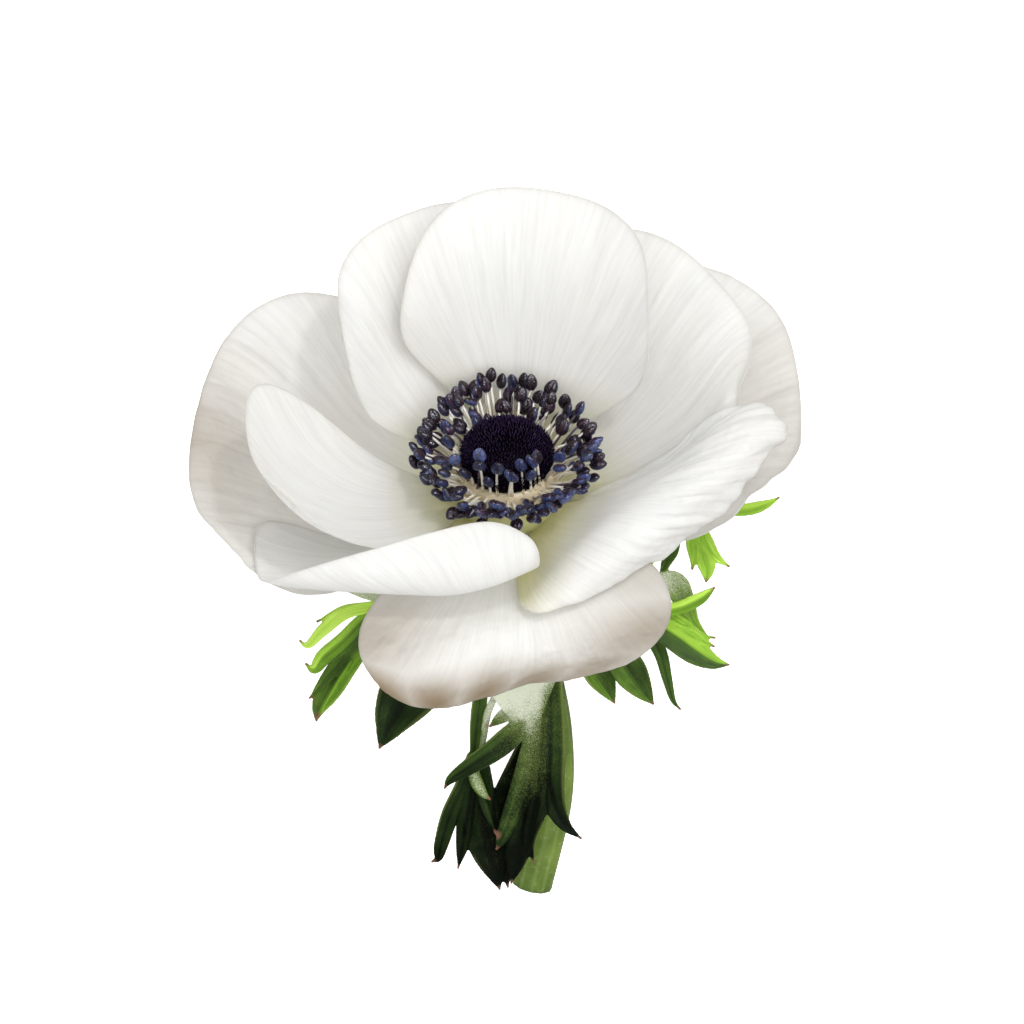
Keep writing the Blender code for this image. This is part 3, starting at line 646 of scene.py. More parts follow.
def facing(direction, roll):
    """A frame whose Z is a direction, rolled about it."""
    z = unit(direction)
    x = np.cross((0.1, 0.2, 1.0), z)
    if np.linalg.norm(x) < 0.05:
        x = np.cross((1.0, 0, 0), z)
    x = unit(x)
    y = np.cross(z, x)
    return np.stack([math.cos(roll) * x + math.sin(roll) * y,
                     math.cos(roll) * y - math.sin(roll) * x, z], 1)


# Pistil

def dome_point(azimuth, angle):
    """A point of the pistil's button: its shoulder is squarer than a ball's."""
    out = PISTIL_RADIUS * math.cos(angle) ** 0.8
    up = PISTIL_HEIGHT * math.sin(angle) ** 0.9
    return np.array([out * math.cos(azimuth), out * math.sin(azimuth), PISTIL_MIDDLE + up])


def make_pistil(finish):
    """The button of packed styles: a dark core under many fine bristles that point up."""
    pile = Pile()
    around, rings = 48, 14
    core = []
    for ring in range(rings + 1):
        angle = math.radians(-60 + 150 * ring / rings)
        for k in range(around):
            azimuth = k / around * math.tau
            if angle < 0:
                out = PISTIL_RADIUS * math.cos(angle) * 0.97
                core.append((out * math.cos(azimuth), out * math.sin(azimuth),
                             PISTIL_MIDDLE + 2 * math.sin(angle)))
            else:
                point = dome_point(azimuth, min(angle, math.radians(89.5)))
                core.append(tuple(point - (0, 0, 0.12)))
    pile.add(np.array(core), ring_faces(rings + 1, around), (0, 0, 0))

    draw = np.random.default_rng(STYLE_SEED)
    golden = math.radians(137.508)
    faces = [(0, 1, 4, 3), (1, 2, 5, 4), (2, 0, 3, 5), (3, 4, 6), (4, 5, 6), (5, 3, 6), (2, 1, 0)]
    corners = [(math.cos(turn), math.sin(turn)) for turn in turns(3)]
    for index in range(STYLE_COUNT):
        share = (index + 0.5) / STYLE_COUNT
        angle = math.asin(1 - share)
        azimuth = index * golden
        root = dome_point(azimuth, max(angle, 0.02))
        outward = unit(root - (0, 0, PISTIL_MIDDLE - 2.5))
        lean = 0.45 * outward + (0, 0, 1) + draw.normal(0, 0.13, 3)
        length = draw.uniform(0.45, 0.95) + 0.3 * share
        low = [(STYLE_RADIUS * x, STYLE_RADIUS * y, -0.15) for x, y in corners]
        high = [(0.8 * STYLE_RADIUS * x, 0.8 * STYLE_RADIUS * y, 0.75 * length) for x, y in corners]
        style = np.array(low + high + [(0, 0, length)])
        marks = np.zeros((7, 3))
        marks[3:, 0] = 0.6
        marks[6, 0] = 1
        marks[:, 1] = draw.uniform(0, 1)
        marks[:, 2] = 1 - share
        pile.add(style @ facing(lean, draw.uniform(0, math.tau)).T + root, faces, marks)
    pile.piece("pistil_button", finish, "pistil", "pistil")


# Stamens

def anther_form():
    """An anther of two lobes with a groove between them, its length along Z. Also how deep each
    point is in the groove, and how far it is on the side that faces the pistil."""
    around, rings = 24, 13
    points, groove, inner = [], [], []
    for ring in range(rings):
        share = ring / (rings - 1)
        body = max(0.06, math.sin(math.pi * (0.02 + 0.96 * share)) ** 0.55) * (1.04 - 0.2 * share)
        for k in range(around):
            turn = k / around * math.tau
            pinch = math.exp(-(math.cos(turn) / 0.26) ** 2)
            out = body * (1 - 0.34 * pinch)
            dip = 0.22 * max(0, 1 - 5 * share) * pinch
            points.append((ANTHER_WIDTH / 2 * out * math.cos(turn),
                           ANTHER_DEPTH / 2 * out * math.sin(turn), ANTHER_LENGTH * (share + dip)))
            groove.append(pinch)
            inner.append(0.5 + 0.5 * math.sin(turn))
    return np.array(points), ring_faces(rings, around), np.array(groove), np.array(inner)


def anther_place(whorl, azimuth):
    """How far out and how high a whorl's anther is, in a direction."""
    back, side, front = (np.array(value, float) for value in (whorl.back, whorl.side, whorl.front))
    end = back if math.sin(azimuth) > 0 else front
    return side + (end - side) * smooth_step(0.1, 0.95, abs(math.sin(azimuth)))


def make_stamens(anther_finish, filament_finish):
    """The ring of stamens: cream filaments from the receptacle's slope, each with its anther."""
    anthers, filaments = Pile(), Pile()
    form, form_faces, groove, inner = anther_form()
    steps = np.linspace(0, 1, FILAMENT_STEPS)
    radii = np.linspace(*FILAMENT_RADII, FILAMENT_STEPS)
    tube_faces = ring_faces(FILAMENT_STEPS, FILAMENT_SIDES)
    draw = np.random.default_rng(STAMEN_SEED)
    for rank, whorl in enumerate(WHORLS):
        foot_out, foot_up = np.add(FILAMENT_FOOT, np.multiply(FOOT_STEP, rank))
        for index in range(whorl.count):
            azimuth = (index + 0.5 * rank + draw.uniform(-0.32, 0.32)) / whorl.count * math.tau
            out = np.array([math.cos(azimuth), math.sin(azimuth), 0])
            beside = np.array([-math.sin(azimuth), math.cos(azimuth), 0])
            stray = draw.uniform(-1, 1, 2) * STRAY * (1 + 0.4 * rank)
            if math.sin(azimuth) > 0.35 and draw.uniform(0, 1) < BACK_GAPS:
                continue
            reach, top = anther_place(whorl, azimuth) + stray
            root = out * foot_out + (0, 0, foot_up)
            middle = out * reach + (0, 0, top)
            lean = unit(unit(middle - root) + draw.normal(0, LEAN_SPREAD, 3))
            size = draw.uniform(*ANTHER_SIZES)
            neck = middle - lean * 0.5 * ANTHER_LENGTH * size
            bow = (root + (neck - root) * 0.5 + beside * draw.uniform(-0.35, 0.35)
                   + np.array([0, 0, 0.5]) - out * 0.3)
            along = steps[:, None]
            line = (1 - along) ** 2 * root + 2 * along * (1 - along) * bow + along ** 2 * neck
            tone = draw.uniform(0, 1)
            marks = np.zeros((FILAMENT_STEPS * FILAMENT_SIDES, 3))
            marks[:, 0] = np.repeat(steps, FILAMENT_SIDES)
            marks[:, 1] = tone
            filaments.add(tube(line, radii, FILAMENT_SIDES), tube_faces, marks)

            turned = facing(lean, draw.normal(0, 0.45))
            marks = np.stack([groove, np.full(len(form), tone), inner], 1)
            anthers.add(form * size @ turned.T + line[-1] - lean * 0.1, form_faces, marks)
    filaments.piece("filaments", filament_finish, "stamen", "stamens")
    anthers.piece("anthers", anther_finish, "stamen", "stamens")


def make_receptacle_rim(finish):
    """The cream slope round the pistil's foot, from which the filaments rise, and the receptacle's
    side below it, from which the petals spring."""
    rows = len(RIM_PROFILE)
    bumps = np.random.default_rng(RIM_SEED).uniform(-RIM_BUMPS, RIM_BUMPS, (rows, RIM_SIDES))
    turn = turns(RIM_SIDES)
    points, faces = [], []
    for row, (out, up) in enumerate(RIM_PROFILE):
        reach = out + bumps[row]
        points.append(np.stack([reach * np.cos(turn), reach * np.sin(turn), 0 * turn + up], 1))
        faces += band(row * RIM_SIDES, (row + 1) % rows * RIM_SIDES, RIM_SIDES)
    below = np.repeat([1 if up < 3 else 0 for _, up in RIM_PROFILE], RIM_SIDES)
    pile = Pile()
    pile.add(np.concatenate(points), faces, np.stack([below * 0, below * 0 + 0.5, below], 1))
    pile.piece("receptacle_rim", finish, "stamen", "stamens")


# Stem

def smooth_line(points, count):
    """Evenly read points of the smooth curve through some points."""
    points = np.array(points, float)
    padded = np.vstack([2 * points[0] - points[1], points, 2 * points[-1] - points[-2]])
    line = []
    for at in np.linspace(0, len(points) - 1, count):
        cell = min(int(at), len(points) - 2)
        line.append(between(*padded[cell:cell + 4], at - cell))
    return np.array(line)


def head_axis(height):
    """A point of the head's axis in the stem's frame."""
    return NOD @ np.array([0, 0, height])


def make_stem(finish):
    """The ribbed stem and the receptacle that it swells into."""
    line = [head_axis(height) for height in np.linspace(RECEPTACLE_TOP, RECEPTACLE_FOOT, 9)]
    radii = [RECEPTACLE_RADIUS] * len(line)
    for share in (0.2, 0.35, 0.5, 0.7, 0.85):
        line.append(head_axis(RECEPTACLE_FOOT - share * 3.5))
        radii.append(RECEPTACLE_RADIUS - (RECEPTACLE_RADIUS - STEM_RADIUS) * share ** 1.5)
    for point in smooth_line(STEM_LINE, 90):
        line.append(point)
        radii.append(STEM_RADIUS)
    turn = turns(STEM_SIDES)
    ribs = 1 + 0.018 * np.cos(turn * STEM_RIBS) - 0.012 + 0.006 * np.cos(turn * 17 + 1)
    points = tube(line, radii, STEM_SIDES, ribs)
    marks = np.zeros((len(points), 3))
    marks[:, 0] = np.repeat(np.linspace(0, 1, len(line)), STEM_SIDES)
    marks[:, 1] = np.tile(np.arange(STEM_SIDES) / STEM_SIDES, len(line))
    new_piece("stem_ribbed", from_stem(points), ring_faces(len(line), STEM_SIDES), finish,
              "stem", {"tone": marks})


# Bracts

def photo_point(x, y, behind):
    """The stem frame's point that a pixel of the photograph shows, at a depth."""
    pixel = PIXEL * (1 + behind / CAMERA_DISTANCE)
    return np.array([(x - PHOTO_SIZE / 2) * pixel + (PHOTO_SIZE / 2 - PHOTO_ORIGIN[0]) * PIXEL, behind,
                     (PHOTO_SIZE / 2 - y) * pixel - (PHOTO_SIZE / 2 - PHOTO_ORIGIN[1]) * PIXEL])


def lobe_reach(lobe, share):
    """Half a lobe's width at shares of its length."""
    root = 0.6 + 0.4 * np.sin(np.clip(share / lobe.widest, 0, 1) * math.pi / 2)
    tip = (1 - np.clip((share - lobe.widest) / (1 - lobe.widest), 0, 1) ** 1.45) ** 0.95
    return np.maximum(lobe.width / 2 * root * tip, 0.2)


def lobe_frames(lobe):
    """A lobe's middle line, and the directions across it and out of its face."""
    line = smooth_line([photo_point(*point) for point in lobe.line], LOBE_STEPS + 1)
    ahead = unit(np.gradient(line, axis=0))
    side = unit(np.cross(ahead, (0, -1, 0)))
    return line, side, np.cross(side, ahead)


def lobe_form(lobe):
    """Points and faces of one strip of a bract, channelled along its middle, with a pointed tip."""
    line, side, face = (values[:, None] for values in lobe_frames(lobe))
    share = np.linspace(0, 1, LOBE_STEPS + 1)[:, None, None]
    place = np.linspace(-1, 1, LOBE_CELLS + 1)[None, :, None]
    reach = lobe_reach(lobe, share)
    channel = BRACT_CHANNEL * reach * (np.abs(place) ** 1.4 - 0.4)
    thick = BRACT_THICKNESS / 2 * (1 - 0.4 * share ** 4) * (1 - 0.5 * place ** 6)
    middle = line + place * reach * side + channel * face
    points = np.concatenate([(middle + thick * face).reshape(-1, 3),
                             (middle - thick * face).reshape(-1, 3)])
    return points, sheet_faces(LOBE_STEPS + 1, LOBE_CELLS + 1)


def free_tips(lobes):
    """The tips of the lobes that don't end inside another lobe."""
    share = np.linspace(0, 1, LOBE_STEPS + 1)
    lines = [lobe_frames(lobe)[0] for lobe in lobes]
    reaches = [lobe_reach(lobe, share) for lobe in lobes]
    tips = []
    for index, line in enumerate(lines):
        tip = line[-1]
        inside = [(np.linalg.norm(other - tip, axis=1) < 0.7 * reach).any()
                  for rank, (other, reach) in enumerate(zip(lines, reaches)) if rank != index]
        if not any(inside):
            tips.append(tip)
    return tips


def leaf_marks(lobes, points):
    """For each point, how far the nearest free tip is, then mostly from the lobe it is deepest in: how
    far across the lobe it is and how light its green, with its painted shade. Also how much pale down
    and painted sheen it has, how far along the lobe it is, and which lobe that is."""
    weights = np.zeros((len(points), 1))
    marks = np.zeros((len(points), 2))
    frost = np.zeros((len(points), 3))
    share = np.linspace(0, 1, LOBE_STEPS + 1)
    for index, lobe in enumerate(lobes):
        line, side, _ = lobe_frames(lobe)
        reach = lobe_reach(lobe, share)
        gap = points[:, None] - line
        apart = np.linalg.norm(gap, axis=2)
        step = apart.argmin(1)
        weight = (apart.min(1)[:, None] / reach[step][:, None] + 0.1) ** -4
        weights += weight
        gap = gap[np.arange(len(points)), step]
        place = (gap * side[step]).sum(1) / reach[step]
        along = share[step]
        tone = lobe.tone[0] + (lobe.tone[1] - lobe.tone[0]) * along
        # Painted shade: one half of a lobe darker than the other, as if tilted away from the light.
        tone += lobe.half * np.clip(4 * place, -1, 1)
        marks += weight * np.stack([place, tone], 1)
        down_and_sheen_here = lobe.frost[0] + (lobe.frost[1] - lobe.frost[0]) * along
        frost += weight * np.stack([down_and_sheen_here, along, along * 0 + index], 1)
    nearest = np.min([np.linalg.norm(points - tip, axis=1) for tip in free_tips(lobes)], axis=0)
    return np.column_stack([nearest, marks / weights]), frost / weights


def make_bract(name, finish):
    """One divided bract, its palm and lobes grown together."""
    pile = Pile()
    for lobe in BRACTS[name]:
        pile.add(*lobe_form(lobe), (0, 0, 0))
    mesh = bpy.data.meshes.new(name + "_leaf")
    mesh.from_pydata(np.concatenate(pile.points).tolist(), [], pile.faces)
    form = bmesh.new()
    form.from_mesh(mesh)
    bmesh.ops.recalc_face_normals(form, faces=form.faces)
    form.to_mesh(mesh)
    form.free()
    leaf = bpy.data.objects.new(name + "_leaf", mesh)
    bpy.context.scene.collection.objects.link(leaf)
    grown = leaf.modifiers.new("grown", "REMESH")
    grown.mode = "VOXEL"
    grown.voxel_size = BRACT_VOXEL
    eased = leaf.modifiers.new("eased", "SMOOTH")
    eased.factor = 0.5
    eased.iterations = 3
    graph = bpy.context.evaluated_depsgraph_get()
    made = bpy.data.meshes.new_from_object(leaf.evaluated_get(graph), depsgraph=graph)
    bpy.data.objects.remove(leaf, do_unlink=True)
    points = np.empty(len(made.vertices) * 3, np.float32)
    made.vertices.foreach_get("co", points)
    points = points.reshape(-1, 3).astype(float)
    made.vertices.foreach_set("co", from_stem(points).astype(np.float32).ravel())
    leaf_mark, down_and_sheen_mark = leaf_marks(BRACTS[name], points)
    dress(name + "_leaf", made, finish, name, {"leaf": leaf_mark, "frost": down_and_sheen_mark})


# Materials

def fill(tree, node, inputs):
    """Set a node's inputs, each one to a value or to another node's output."""
    for key, value in inputs.items():
        socket = node.inputs[key]
        if isinstance(value, bpy.types.NodeSocket):
            tree.links.new(value, socket)
        else:
            socket.default_value = value


def add(tree, kind, inputs=None, **settings):
    """A shader node with its settings and inputs."""
    node = tree.nodes.new("ShaderNode" + kind)
    for key, value in settings.items():
        setattr(node, key, value)
    fill(tree, node, inputs or {})
    return node


def new_finish(name):
    """A material, its node tree and its Principled shader."""
    finish = bpy.data.materials.new(name)
    finish.use_nodes = True
    return finish, finish.node_tree, finish.node_tree.nodes["Principled BSDF"]


def marks_of(tree, name):
    """The three values of a point attribute."""
    place = add(tree, "Attribute", attribute_name=name).outputs["Vector"]
    return add(tree, "SeparateXYZ", {0: place}).outputs


def noise_of(tree, scale, detail):
    """Noise over the flower."""
    body = add(tree, "TexCoord").outputs["Object"]
    return add(tree, "TexNoise", {"Vector": body, "Scale": scale, "Detail": detail}).outputs["Fac"]


def bump_of(tree, height, strength, distance):
    """A bumped normal."""
    return add(tree, "Bump", {"Strength": strength, "Distance": distance, "Height": height}).outputs[0]


def math_of(tree, operation, *values):
    """The output of a math node."""
    return add(tree, "Math", dict(enumerate(values)), operation=operation).outputs[0]


def varied(tree, value, noisy, strength):
    """A value moved up and down by noise."""
    return math_of(tree, "MULTIPLY_ADD", math_of(tree, "SUBTRACT", noisy, 0.5), strength, value)


def ramp(tree, value, *stops):
    """The output of a colour ramp. A stop is a place and a colour, or a place and a grey's level."""
    node = add(tree, "ValToRGB", {"Fac": value})
    points = node.color_ramp.elements
    while len(points) < len(stops):
        points.new(0.5)
    for point, (place, colour) in zip(points, stops):
        point.position = place
        point.color = (*(colour if isinstance(colour, tuple) else (colour,) * 3), 1)
    return node.outputs["Color"]


def blended(tree, factor, first, second, how="MIX"):
    """The colour between two others."""
    node = add(tree, "Mix", data_type="RGBA", blend_type=how)
    for index, value in ((0, factor), (6, first), (7, second)):
        fill(tree, node, {index: (*value, 1) if isinstance(value, tuple) else value})
    return node.outputs[2]


def over(tree, colour, other, value, *stops):
    """A colour with another laid over it, as strongly as the ramp of a value says."""
    return blended(tree, ramp(tree, value, *stops), colour, other)


def shaded(tree, colour, value, *stops):
    """A colour multiplied by the ramp of a value."""
    return blended(tree, 1.0, colour, ramp(tree, value, *stops), "MULTIPLY")


def petal_finish():
    """White petal: weak veins that fan from a greenish claw, darkened towards the claw partly as painted
    shade, a thin darker line along its margin, beige-brown painted shade on its shaded parts, silky,
    with light coming through."""
    finish, tree, shader = new_finish("petal_white")
    fan, share, rim = marks_of(tree, "blade")

    def streaks(across, along, detail):
        where = add(tree, "CombineXYZ", {0: math_of(tree, "MULTIPLY", fan, across),
                                         1: math_of(tree, "MULTIPLY", share, along)}).outputs[0]
        return add(tree, "TexNoise", {"Vector": where, "Scale": 1.0, "Detail": detail,
                                      "Roughness": 0.6}).outputs["Fac"]

    fine = streaks(60, 4, 3)
    broad = streaks(17, 2, 2)
    grain = noise_of(tree, 2400, 3)
    cloud = noise_of(tree, 60, 3)
    # Greenish claw colour, darkened towards the claw partly as painted shade for the shade among the
    # stamens.
    white = ramp(tree, share, (0.0, (0.60, 0.57, 0.24)), (0.1, (0.76, 0.74, 0.48)),
                 (0.2, (0.88, 0.87, 0.76)), (0.34, (0.94, 0.94, 0.926)))
    white = over(tree, white, (0.93, 0.905, 0.86), cloud, (0.4, 0), (0.75, 0.4))
    white = shaded(tree, white, fine, (0.3, 0.93), (0.6, 1))
    white = shaded(tree, white, broad, (0.3, 0.96), (0.6, 1))
    white = over(tree, white, (0.68, 0.66, 0.62), rim, (0.94, 0), (0.975, 0.1), (1.0, 0.6))
    # Painted shade: where a petal's shade mark is set, its white turns beige-brown to stand in for shade.
    painted_shade = add(tree, "Attribute", attribute_name="painted_shade").outputs["Fac"]
    patchy_painted_shade = math_of(tree, "MULTIPLY", painted_shade, math_of(tree, "MULTIPLY_ADD", cloud, 0.6, 0.7))
    white = blended(tree, patchy_painted_shade, white, (0.33, 0.25, 0.16))
    height = math_of(tree, "ADD", math_of(tree, "MULTIPLY", fine, 0.7),
                     math_of(tree, "MULTIPLY", grain, 0.35))
    bump = bump_of(tree, height, 0.3, 0.00025)
    fill(tree, shader, {"Base Color": white,
                        "Roughness": ramp(tree, broad, (0.3, 0.5), (0.7, 0.62)),
                        "Specular IOR Level": 0.3,
                        "Sheen Weight": 0.12,
                        "Subsurface Weight": 0.25,
                        "Subsurface Radius": (1.0, 0.93, 0.8),
                        "Subsurface Scale": 0.0015,
                        "Normal": bump})
    through_light = add(tree, "BsdfTranslucent", {"Color": white, "Normal": bump})
    mix = add(tree, "MixShader", {0: 0.4, 1: shader.outputs[0], 2: through_light.outputs[0]})
    tree.links.new(mix.outputs[0], tree.nodes["Material Output"].inputs["Surface"])
    return finish


def anther_finish():
    """Navy anthers: blue and a little glossy on their backs, where a lighter blue is partly a painted
    sheen, dark maroon on the face and in the groove."""
    finish, tree, shader = new_finish("anther_navy")
    groove, tone, inner = marks_of(tree, "tone")
    grain = noise_of(tree, 1500, 4)
    patch = noise_of(tree, 500, 2)
    blue = ramp(tree, tone, (0.0, (0.011, 0.010, 0.034)), (0.45, (0.024, 0.032, 0.115)),
                (1.0, (0.070, 0.100, 0.270)))
    dark = ramp(tree, tone, (0.0, (0.008, 0.002, 0.006)), (0.6, (0.018, 0.005, 0.011)),
                (1.0, (0.034, 0.012, 0.034)))
    face = math_of(tree, "MULTIPLY_ADD", grain, 0.5, inner)
    navy = over(tree, blue, dark, face, (0.62, 0), (0.98, 1))
    # Lighter blue on the anthers' backs: partly their bloom, partly a painted sheen where light falls.
    bloom_and_sheen = math_of(tree, "MULTIPLY", ramp(tree, patch, (0.5, 0), (0.7, 0.8)),
                    math_of(tree, "SUBTRACT", 1.0, inner))
    navy = blended(tree, bloom_and_sheen, navy, (0.115, 0.140, 0.270))
    navy = shaded(tree, navy, grain, (0.36, 0.4), (0.62, 1))
    brown = over(tree, (0.016, 0.006, 0.007), (0.26, 0.20, 0.17), tone, (0.6, 0), (0.95, 0.5))
    navy = over(tree, navy, brown, groove, (0.55, 0), (1.0, 0.9))
    fill(tree, shader, {"Base Color": navy,
                        "Roughness": ramp(tree, grain, (0.3, 0.18), (0.7, 0.36)),
                        "Specular IOR Level": 0.4,
                        "Sheen Weight": 0.05,
                        "Sheen Tint": (0.6, 0.7, 1.0, 1),
                        "Normal": bump_of(tree, noise_of(tree, 4200, 2), 0.9, 0.00012)})
    return finish


def filament_finish():
    """Cream filaments and receptacle. Some filaments are near-black purple, partly as painted shade for
    the dark gaps between filaments, and the receptacle's side is olive.
    """
    finish, tree, shader = new_finish("filament_cream")
    along, tone, below = marks_of(tree, "tone")
    grain = noise_of(tree, 900, 3)
    cream = ramp(tree, along, (0.0, (0.62, 0.53, 0.36)), (0.3, (0.86, 0.81, 0.68)),
                 (0.9, (0.90, 0.87, 0.80)), (1.0, (0.42, 0.36, 0.42)))
    cream = over(tree, cream, (0.58, 0.47, 0.33), grain, (0.35, 0), (0.75, 0.35))
    # Near-black purple filaments: partly their own colour, partly painted shade for the dark gaps between
    # them.
    cream = over(tree, cream, (0.045, 0.020, 0.045), tone, (0.78, 0), (0.84, 0.92))
    cream = blended(tree, below, cream, (0.50, 0.50, 0.24))
    fill(tree, shader, {"Base Color": cream,
                        "Roughness": 0.4,
                        "Subsurface Weight": 0.15,
                        "Subsurface Radius": (1.0, 0.8, 0.5),
                        "Subsurface Scale": 0.0004,
                        "Normal": bump_of(tree, grain, 0.3, 0.00006)})
    return finish


def pistil_finish():
    """Purple-black styles: violet on the crown, with a few pale tips painted as glints."""
    finish, tree, shader = new_finish("pistil_black")
    height, tone, crown = marks_of(tree, "tone")
    dark = ramp(tree, height, (0.0, (0.0006, 0.0004, 0.001)), (0.6, (0.0025, 0.0018, 0.005)),
                (1.0, (0.014, 0.010, 0.026)))
    violet = math_of(tree, "MULTIPLY", noise_of(tree, 420, 2), crown)
    violet = math_of(tree, "MULTIPLY", math_of(tree, "MULTIPLY", violet, height), 1.5)
    dark = blended(tree, violet, dark, (0.075, 0.040, 0.120))
    # Painted glints: a few pale bristle tips.
    dark = over(tree, dark, (0.075, 0.070, 0.10), tone, (0.93, 0), (0.95, 0.6))
    fill(tree, shader, {"Base Color": dark, "Roughness": 0.55, "Specular IOR Level": 0.02})
    return finish


def bract_finish():
    """Bract green: parallel veins, paler rims, brownish-pink tips, lobes lighter or darker partly as
    painted shade, and pale down with a painted sheen where speckled.
    """
    finish, tree, shader = new_finish("bract_green")
    from_tip, across, tone = marks_of(tree, "leaf")
    frost, along, lobe = marks_of(tree, "frost")
    mottle = noise_of(tree, 300, 4)
    grain = noise_of(tree, 5600, 3)
    strip = add(tree, "CombineXYZ", {0: math_of(tree, "MULTIPLY", across, 3.2),
                                     1: math_of(tree, "MULTIPLY", along, 1.5), 2: lobe}).outputs[0]
    veins = add(tree, "TexNoise", {"Vector": strip, "Scale": 1.6, "Detail": 3}).outputs["Fac"]
    beside = math_of(tree, "ABSOLUTE", across)

    # Lobes' lightness: partly their own green, partly painted shade, near black on the lower front lobes.
    light = varied(tree, tone, veins, math_of(tree, "MULTIPLY_ADD", tone, 0.45, 0.12))
    light = varied(tree, light, mottle, 0.25)
    light = math_of(tree, "SUBTRACT", light, ramp(tree, beside, (0.0, 0.14), (0.3, 0)))
    green = ramp(tree, math_of(tree, "MULTIPLY", light, 0.8),
                 (0.0, (0.002, 0.004, 0.001)), (0.16, (0.014, 0.030, 0.006)),
                 (0.36, (0.060, 0.120, 0.016)), (0.56, (0.17, 0.34, 0.026)),
                 (0.8, (0.37, 0.62, 0.065)), (1.0, (0.55, 0.82, 0.13)))
    rims = math_of(tree, "MULTIPLY", ramp(tree, beside, (0.78, 0), (0.98, 0.65)),
                   math_of(tree, "MULTIPLY_ADD", tone, 0.9, 0.1))
    green = blended(tree, rims, green, (0.42, 0.50, 0.13))
    # Pale down in speckles, which on the front bract's base and the strap is also a painted sheen.
    speckled_down_and_sheen = varied(tree, varied(tree, frost, mottle, 0.6), grain, 1.5)
    speckled_down_and_sheen = math_of(tree, "MULTIPLY", speckled_down_and_sheen, 0.5)
    green = over(tree, green, (0.15, 0.20, 0.050), speckled_down_and_sheen, (0.1, 0), (0.4, 0.75))
    green = over(tree, green, (0.72, 0.76, 0.62), speckled_down_and_sheen, (0.35, 0), (0.75, 0.95))
    green = over(tree, green, (0.22, 0.105, 0.070), from_tip, (0.3, 0.9), (1.0, 0))
    height = math_of(tree, "MULTIPLY_ADD", veins, 1.2, grain)
    fill(tree, shader, {"Base Color": green,
                        "Roughness": ramp(tree, mottle, (0.3, 0.34), (0.7, 0.5)),
                        "Specular IOR Level": 0.1,
                        "Subsurface Weight": 0.1,
                        "Subsurface Radius": (0.3, 1.0, 0.1),
                        "Subsurface Scale": 0.0006,
                        "Normal": bump_of(tree, height, 0.5, 0.00015)})
    return finish


def stem_finish():
    """Green stem with paler ribs and a fine down, darker and then pale towards the head."""
    finish, tree, shader = new_finish("stem_green")
    along, around, _ = marks_of(tree, "tone")
    mottle = noise_of(tree, 160, 4)
    grain = noise_of(tree, 1500, 2)
    green = ramp(tree, mottle, (0.3, (0.075, 0.130, 0.018)), (0.7, (0.16, 0.24, 0.036)))
    ribs = math_of(tree, "COSINE", math_of(tree, "MULTIPLY", around, math.tau * STEM_RIBS))
    green = over(tree, green, (0.27, 0.36, 0.10), ribs, (0.2, 0), (1.0, 0.22))
    green = over(tree, green, (0.070, 0.110, 0.022), along, (0.61, 0.75), (0.68, 0))
    green = over(tree, green, (0.50, 0.50, 0.24), along, (0.0, 0.85), (0.1, 0))
    green = over(tree, green, (0.38, 0.42, 0.24), grain, (0.55, 0), (0.8, 0.35))
    fill(tree, shader, {"Base Color": green,
                        "Roughness": 0.45,
                        "Specular IOR Level": 0.25,
                        "Sheen Weight": 0.05,
                        "Normal": bump_of(tree, grain, 0.3, 0.0001)})
    return finish


# Studio

RIGHT = LIE @ np.array([1, 0, 0])
TOWARDS = LIE @ np.array([0, -1, 0])
UPWARD = LIE @ np.array([0, 0, 1])

# The world's light: where it is brightest, and its colours from the opposite side to there.
AMBIENT_FROM = UPWARD * 0.2 + TOWARDS * 0.98
AMBIENT = [(0.0, (0.66, 0.635, 0.60)), (0.5, (0.90, 0.89, 0.875)), (1.0, (0.95, 0.95, 0.945))]

# What shiny parts mirror: a dark room, and a bright window in one direction. The window's edge fades
# between two cosines of the angle from its middle.
MIRRORED = (0.1, 0.1, 0.12)
WINDOW = UPWARD * 0.5 + TOWARDS * 0.8 + RIGHT * 0.25
WINDOW_EDGE = (0.95, 0.975)
WINDOW_LIGHT = (20, 21, 24)

# The lights: from where, how wide in metres, how strong, and their colour.
LIGHT_DISTANCE = 0.9
LIGHTS = {
    "key": (UPWARD * -0.1 + TOWARDS * 0.95 + RIGHT * 0.3, 1.4, 5.2, (1.0, 1.0, 0.995)),
    "spark": (UPWARD * 0.45 + TOWARDS * 0.85 + RIGHT * 0.25, 0.06, 1.5, (1.0, 1.0, 1.0)),
}
FLOOR_RADIUS = 4


def make_camera():
    """A camera level with the upright flower, which looks down on it as it lies."""
    middle = (np.array(LIE_PLACE) + RIGHT * (PHOTO_SIZE / 2 - PHOTO_ORIGIN[0]) * PIXEL
              - UPWARD * (PHOTO_SIZE / 2 - PHOTO_ORIGIN[1]) * PIXEL)
    place = (middle + TOWARDS * CAMERA_DISTANCE) * MM
    data = bpy.data.cameras.new("camera")
    data.sensor_width = SENSOR
    data.lens = SENSOR * CAMERA_DISTANCE / (PHOTO_SIZE * PIXEL)
    data.clip_start = 0.01
    camera = bpy.data.objects.new("camera", data)
    turn = Matrix(np.stack([RIGHT, UPWARD, TOWARDS], 1).tolist())
    camera.matrix_world = Matrix.Translation(place.tolist()) @ turn.to_4x4()
    bpy.context.scene.collection.objects.link(camera)
    bpy.context.scene.camera = camera


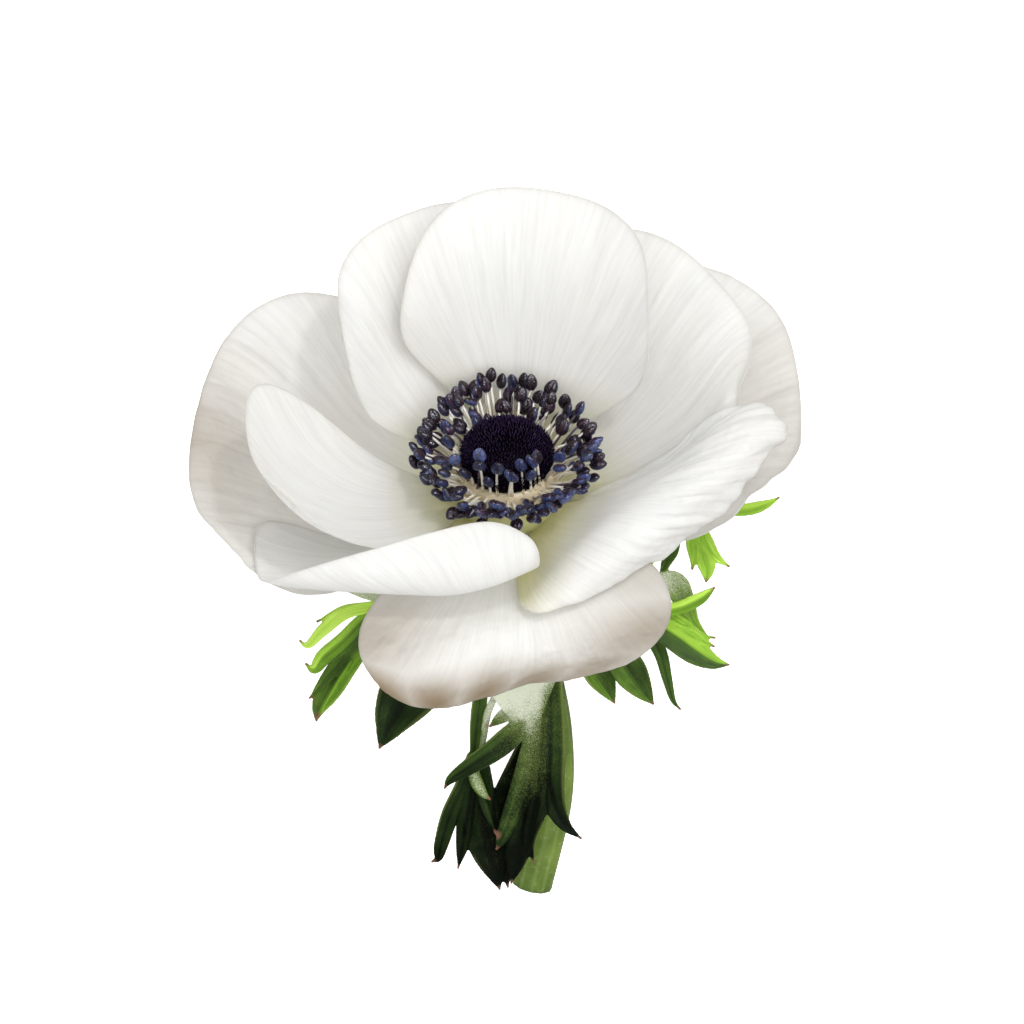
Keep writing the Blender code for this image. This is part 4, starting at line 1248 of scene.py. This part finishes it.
def make_light(name, direction, size, power, colour):
    """A round light that shines on the flower from a direction."""
    data = bpy.data.lights.new(name, "AREA")
    data.shape = "DISK"
    data.size = size
    data.energy = power
    data.color = colour
    light = bpy.data.objects.new(name, data)
    direction = Vector(direction).normalized()
    light.location = Vector((0, 0, 0.02)) + direction * LIGHT_DISTANCE
    light.rotation_euler = direction.to_track_quat("Z", "Y").to_euler()
    bpy.context.scene.collection.objects.link(light)


def make_floor():
    """The plain white ground: bright by itself, so that shadows on it stay faint."""
    bpy.ops.mesh.primitive_circle_add(vertices=64, radius=FLOOR_RADIUS, fill_type="NGON")
    floor = bpy.context.object
    floor.name = "floor"
    finish, tree, shader = new_finish("floor_white")
    fill(tree, shader, {"Base Color": (0.9, 0.9, 0.9, 1), "Roughness": 0.8,
                        "Emission Color": (1, 1, 1, 1), "Emission Strength": 0.75})
    floor.data.materials.append(finish)
    floor.visible_diffuse = False
    floor.visible_glossy = False
    floor.visible_transmission = False
    floor.visible_shadow = False


def make_world():
    """Even light, brighter from the camera's side than from behind the flower, where it is warmer.
    Shiny parts mirror a darker room with one window, and the camera sees a plain white background."""
    world = bpy.data.worlds.new("studio")
    bpy.context.scene.world = world
    world.use_nodes = True
    tree = world.node_tree

    def cosine(direction):
        inputs = {0: add(tree, "TexCoord").outputs["Generated"], 1: tuple(direction)}
        return add(tree, "VectorMath", inputs, operation="DOT_PRODUCT").outputs["Value"]

    light = ramp(tree, math_of(tree, "MULTIPLY_ADD", cosine(AMBIENT_FROM), 0.5, 0.5), *AMBIENT)
    window = cosine(unit(WINDOW))
    mirrored = over(tree, MIRRORED, WINDOW_LIGHT, window, (WINDOW_EDGE[0], 0), (WINDOW_EDGE[1], 1))
    path = add(tree, "LightPath").outputs
    light = blended(tree, path["Is Glossy Ray"], light, mirrored)
    colour = blended(tree, path["Is Camera Ray"], light, (1.0, 1.0, 1.0))
    tree.links.new(colour, tree.nodes["Background"].inputs["Color"])


def main():
    """Build the studio and the flower."""
    bpy.context.scene.view_settings.view_transform = "Standard"
    make_camera()
    make_world()
    make_floor()
    for name, settings in LIGHTS.items():
        make_light(name, *settings)
    make_petals(petal_finish())
    make_pistil(pistil_finish())
    cream = filament_finish()
    make_stamens(anther_finish(), cream)
    make_receptacle_rim(cream)
    make_stem(stem_finish())
    green = bract_finish()
    for name in BRACTS:
        make_bract(name, green)


main()
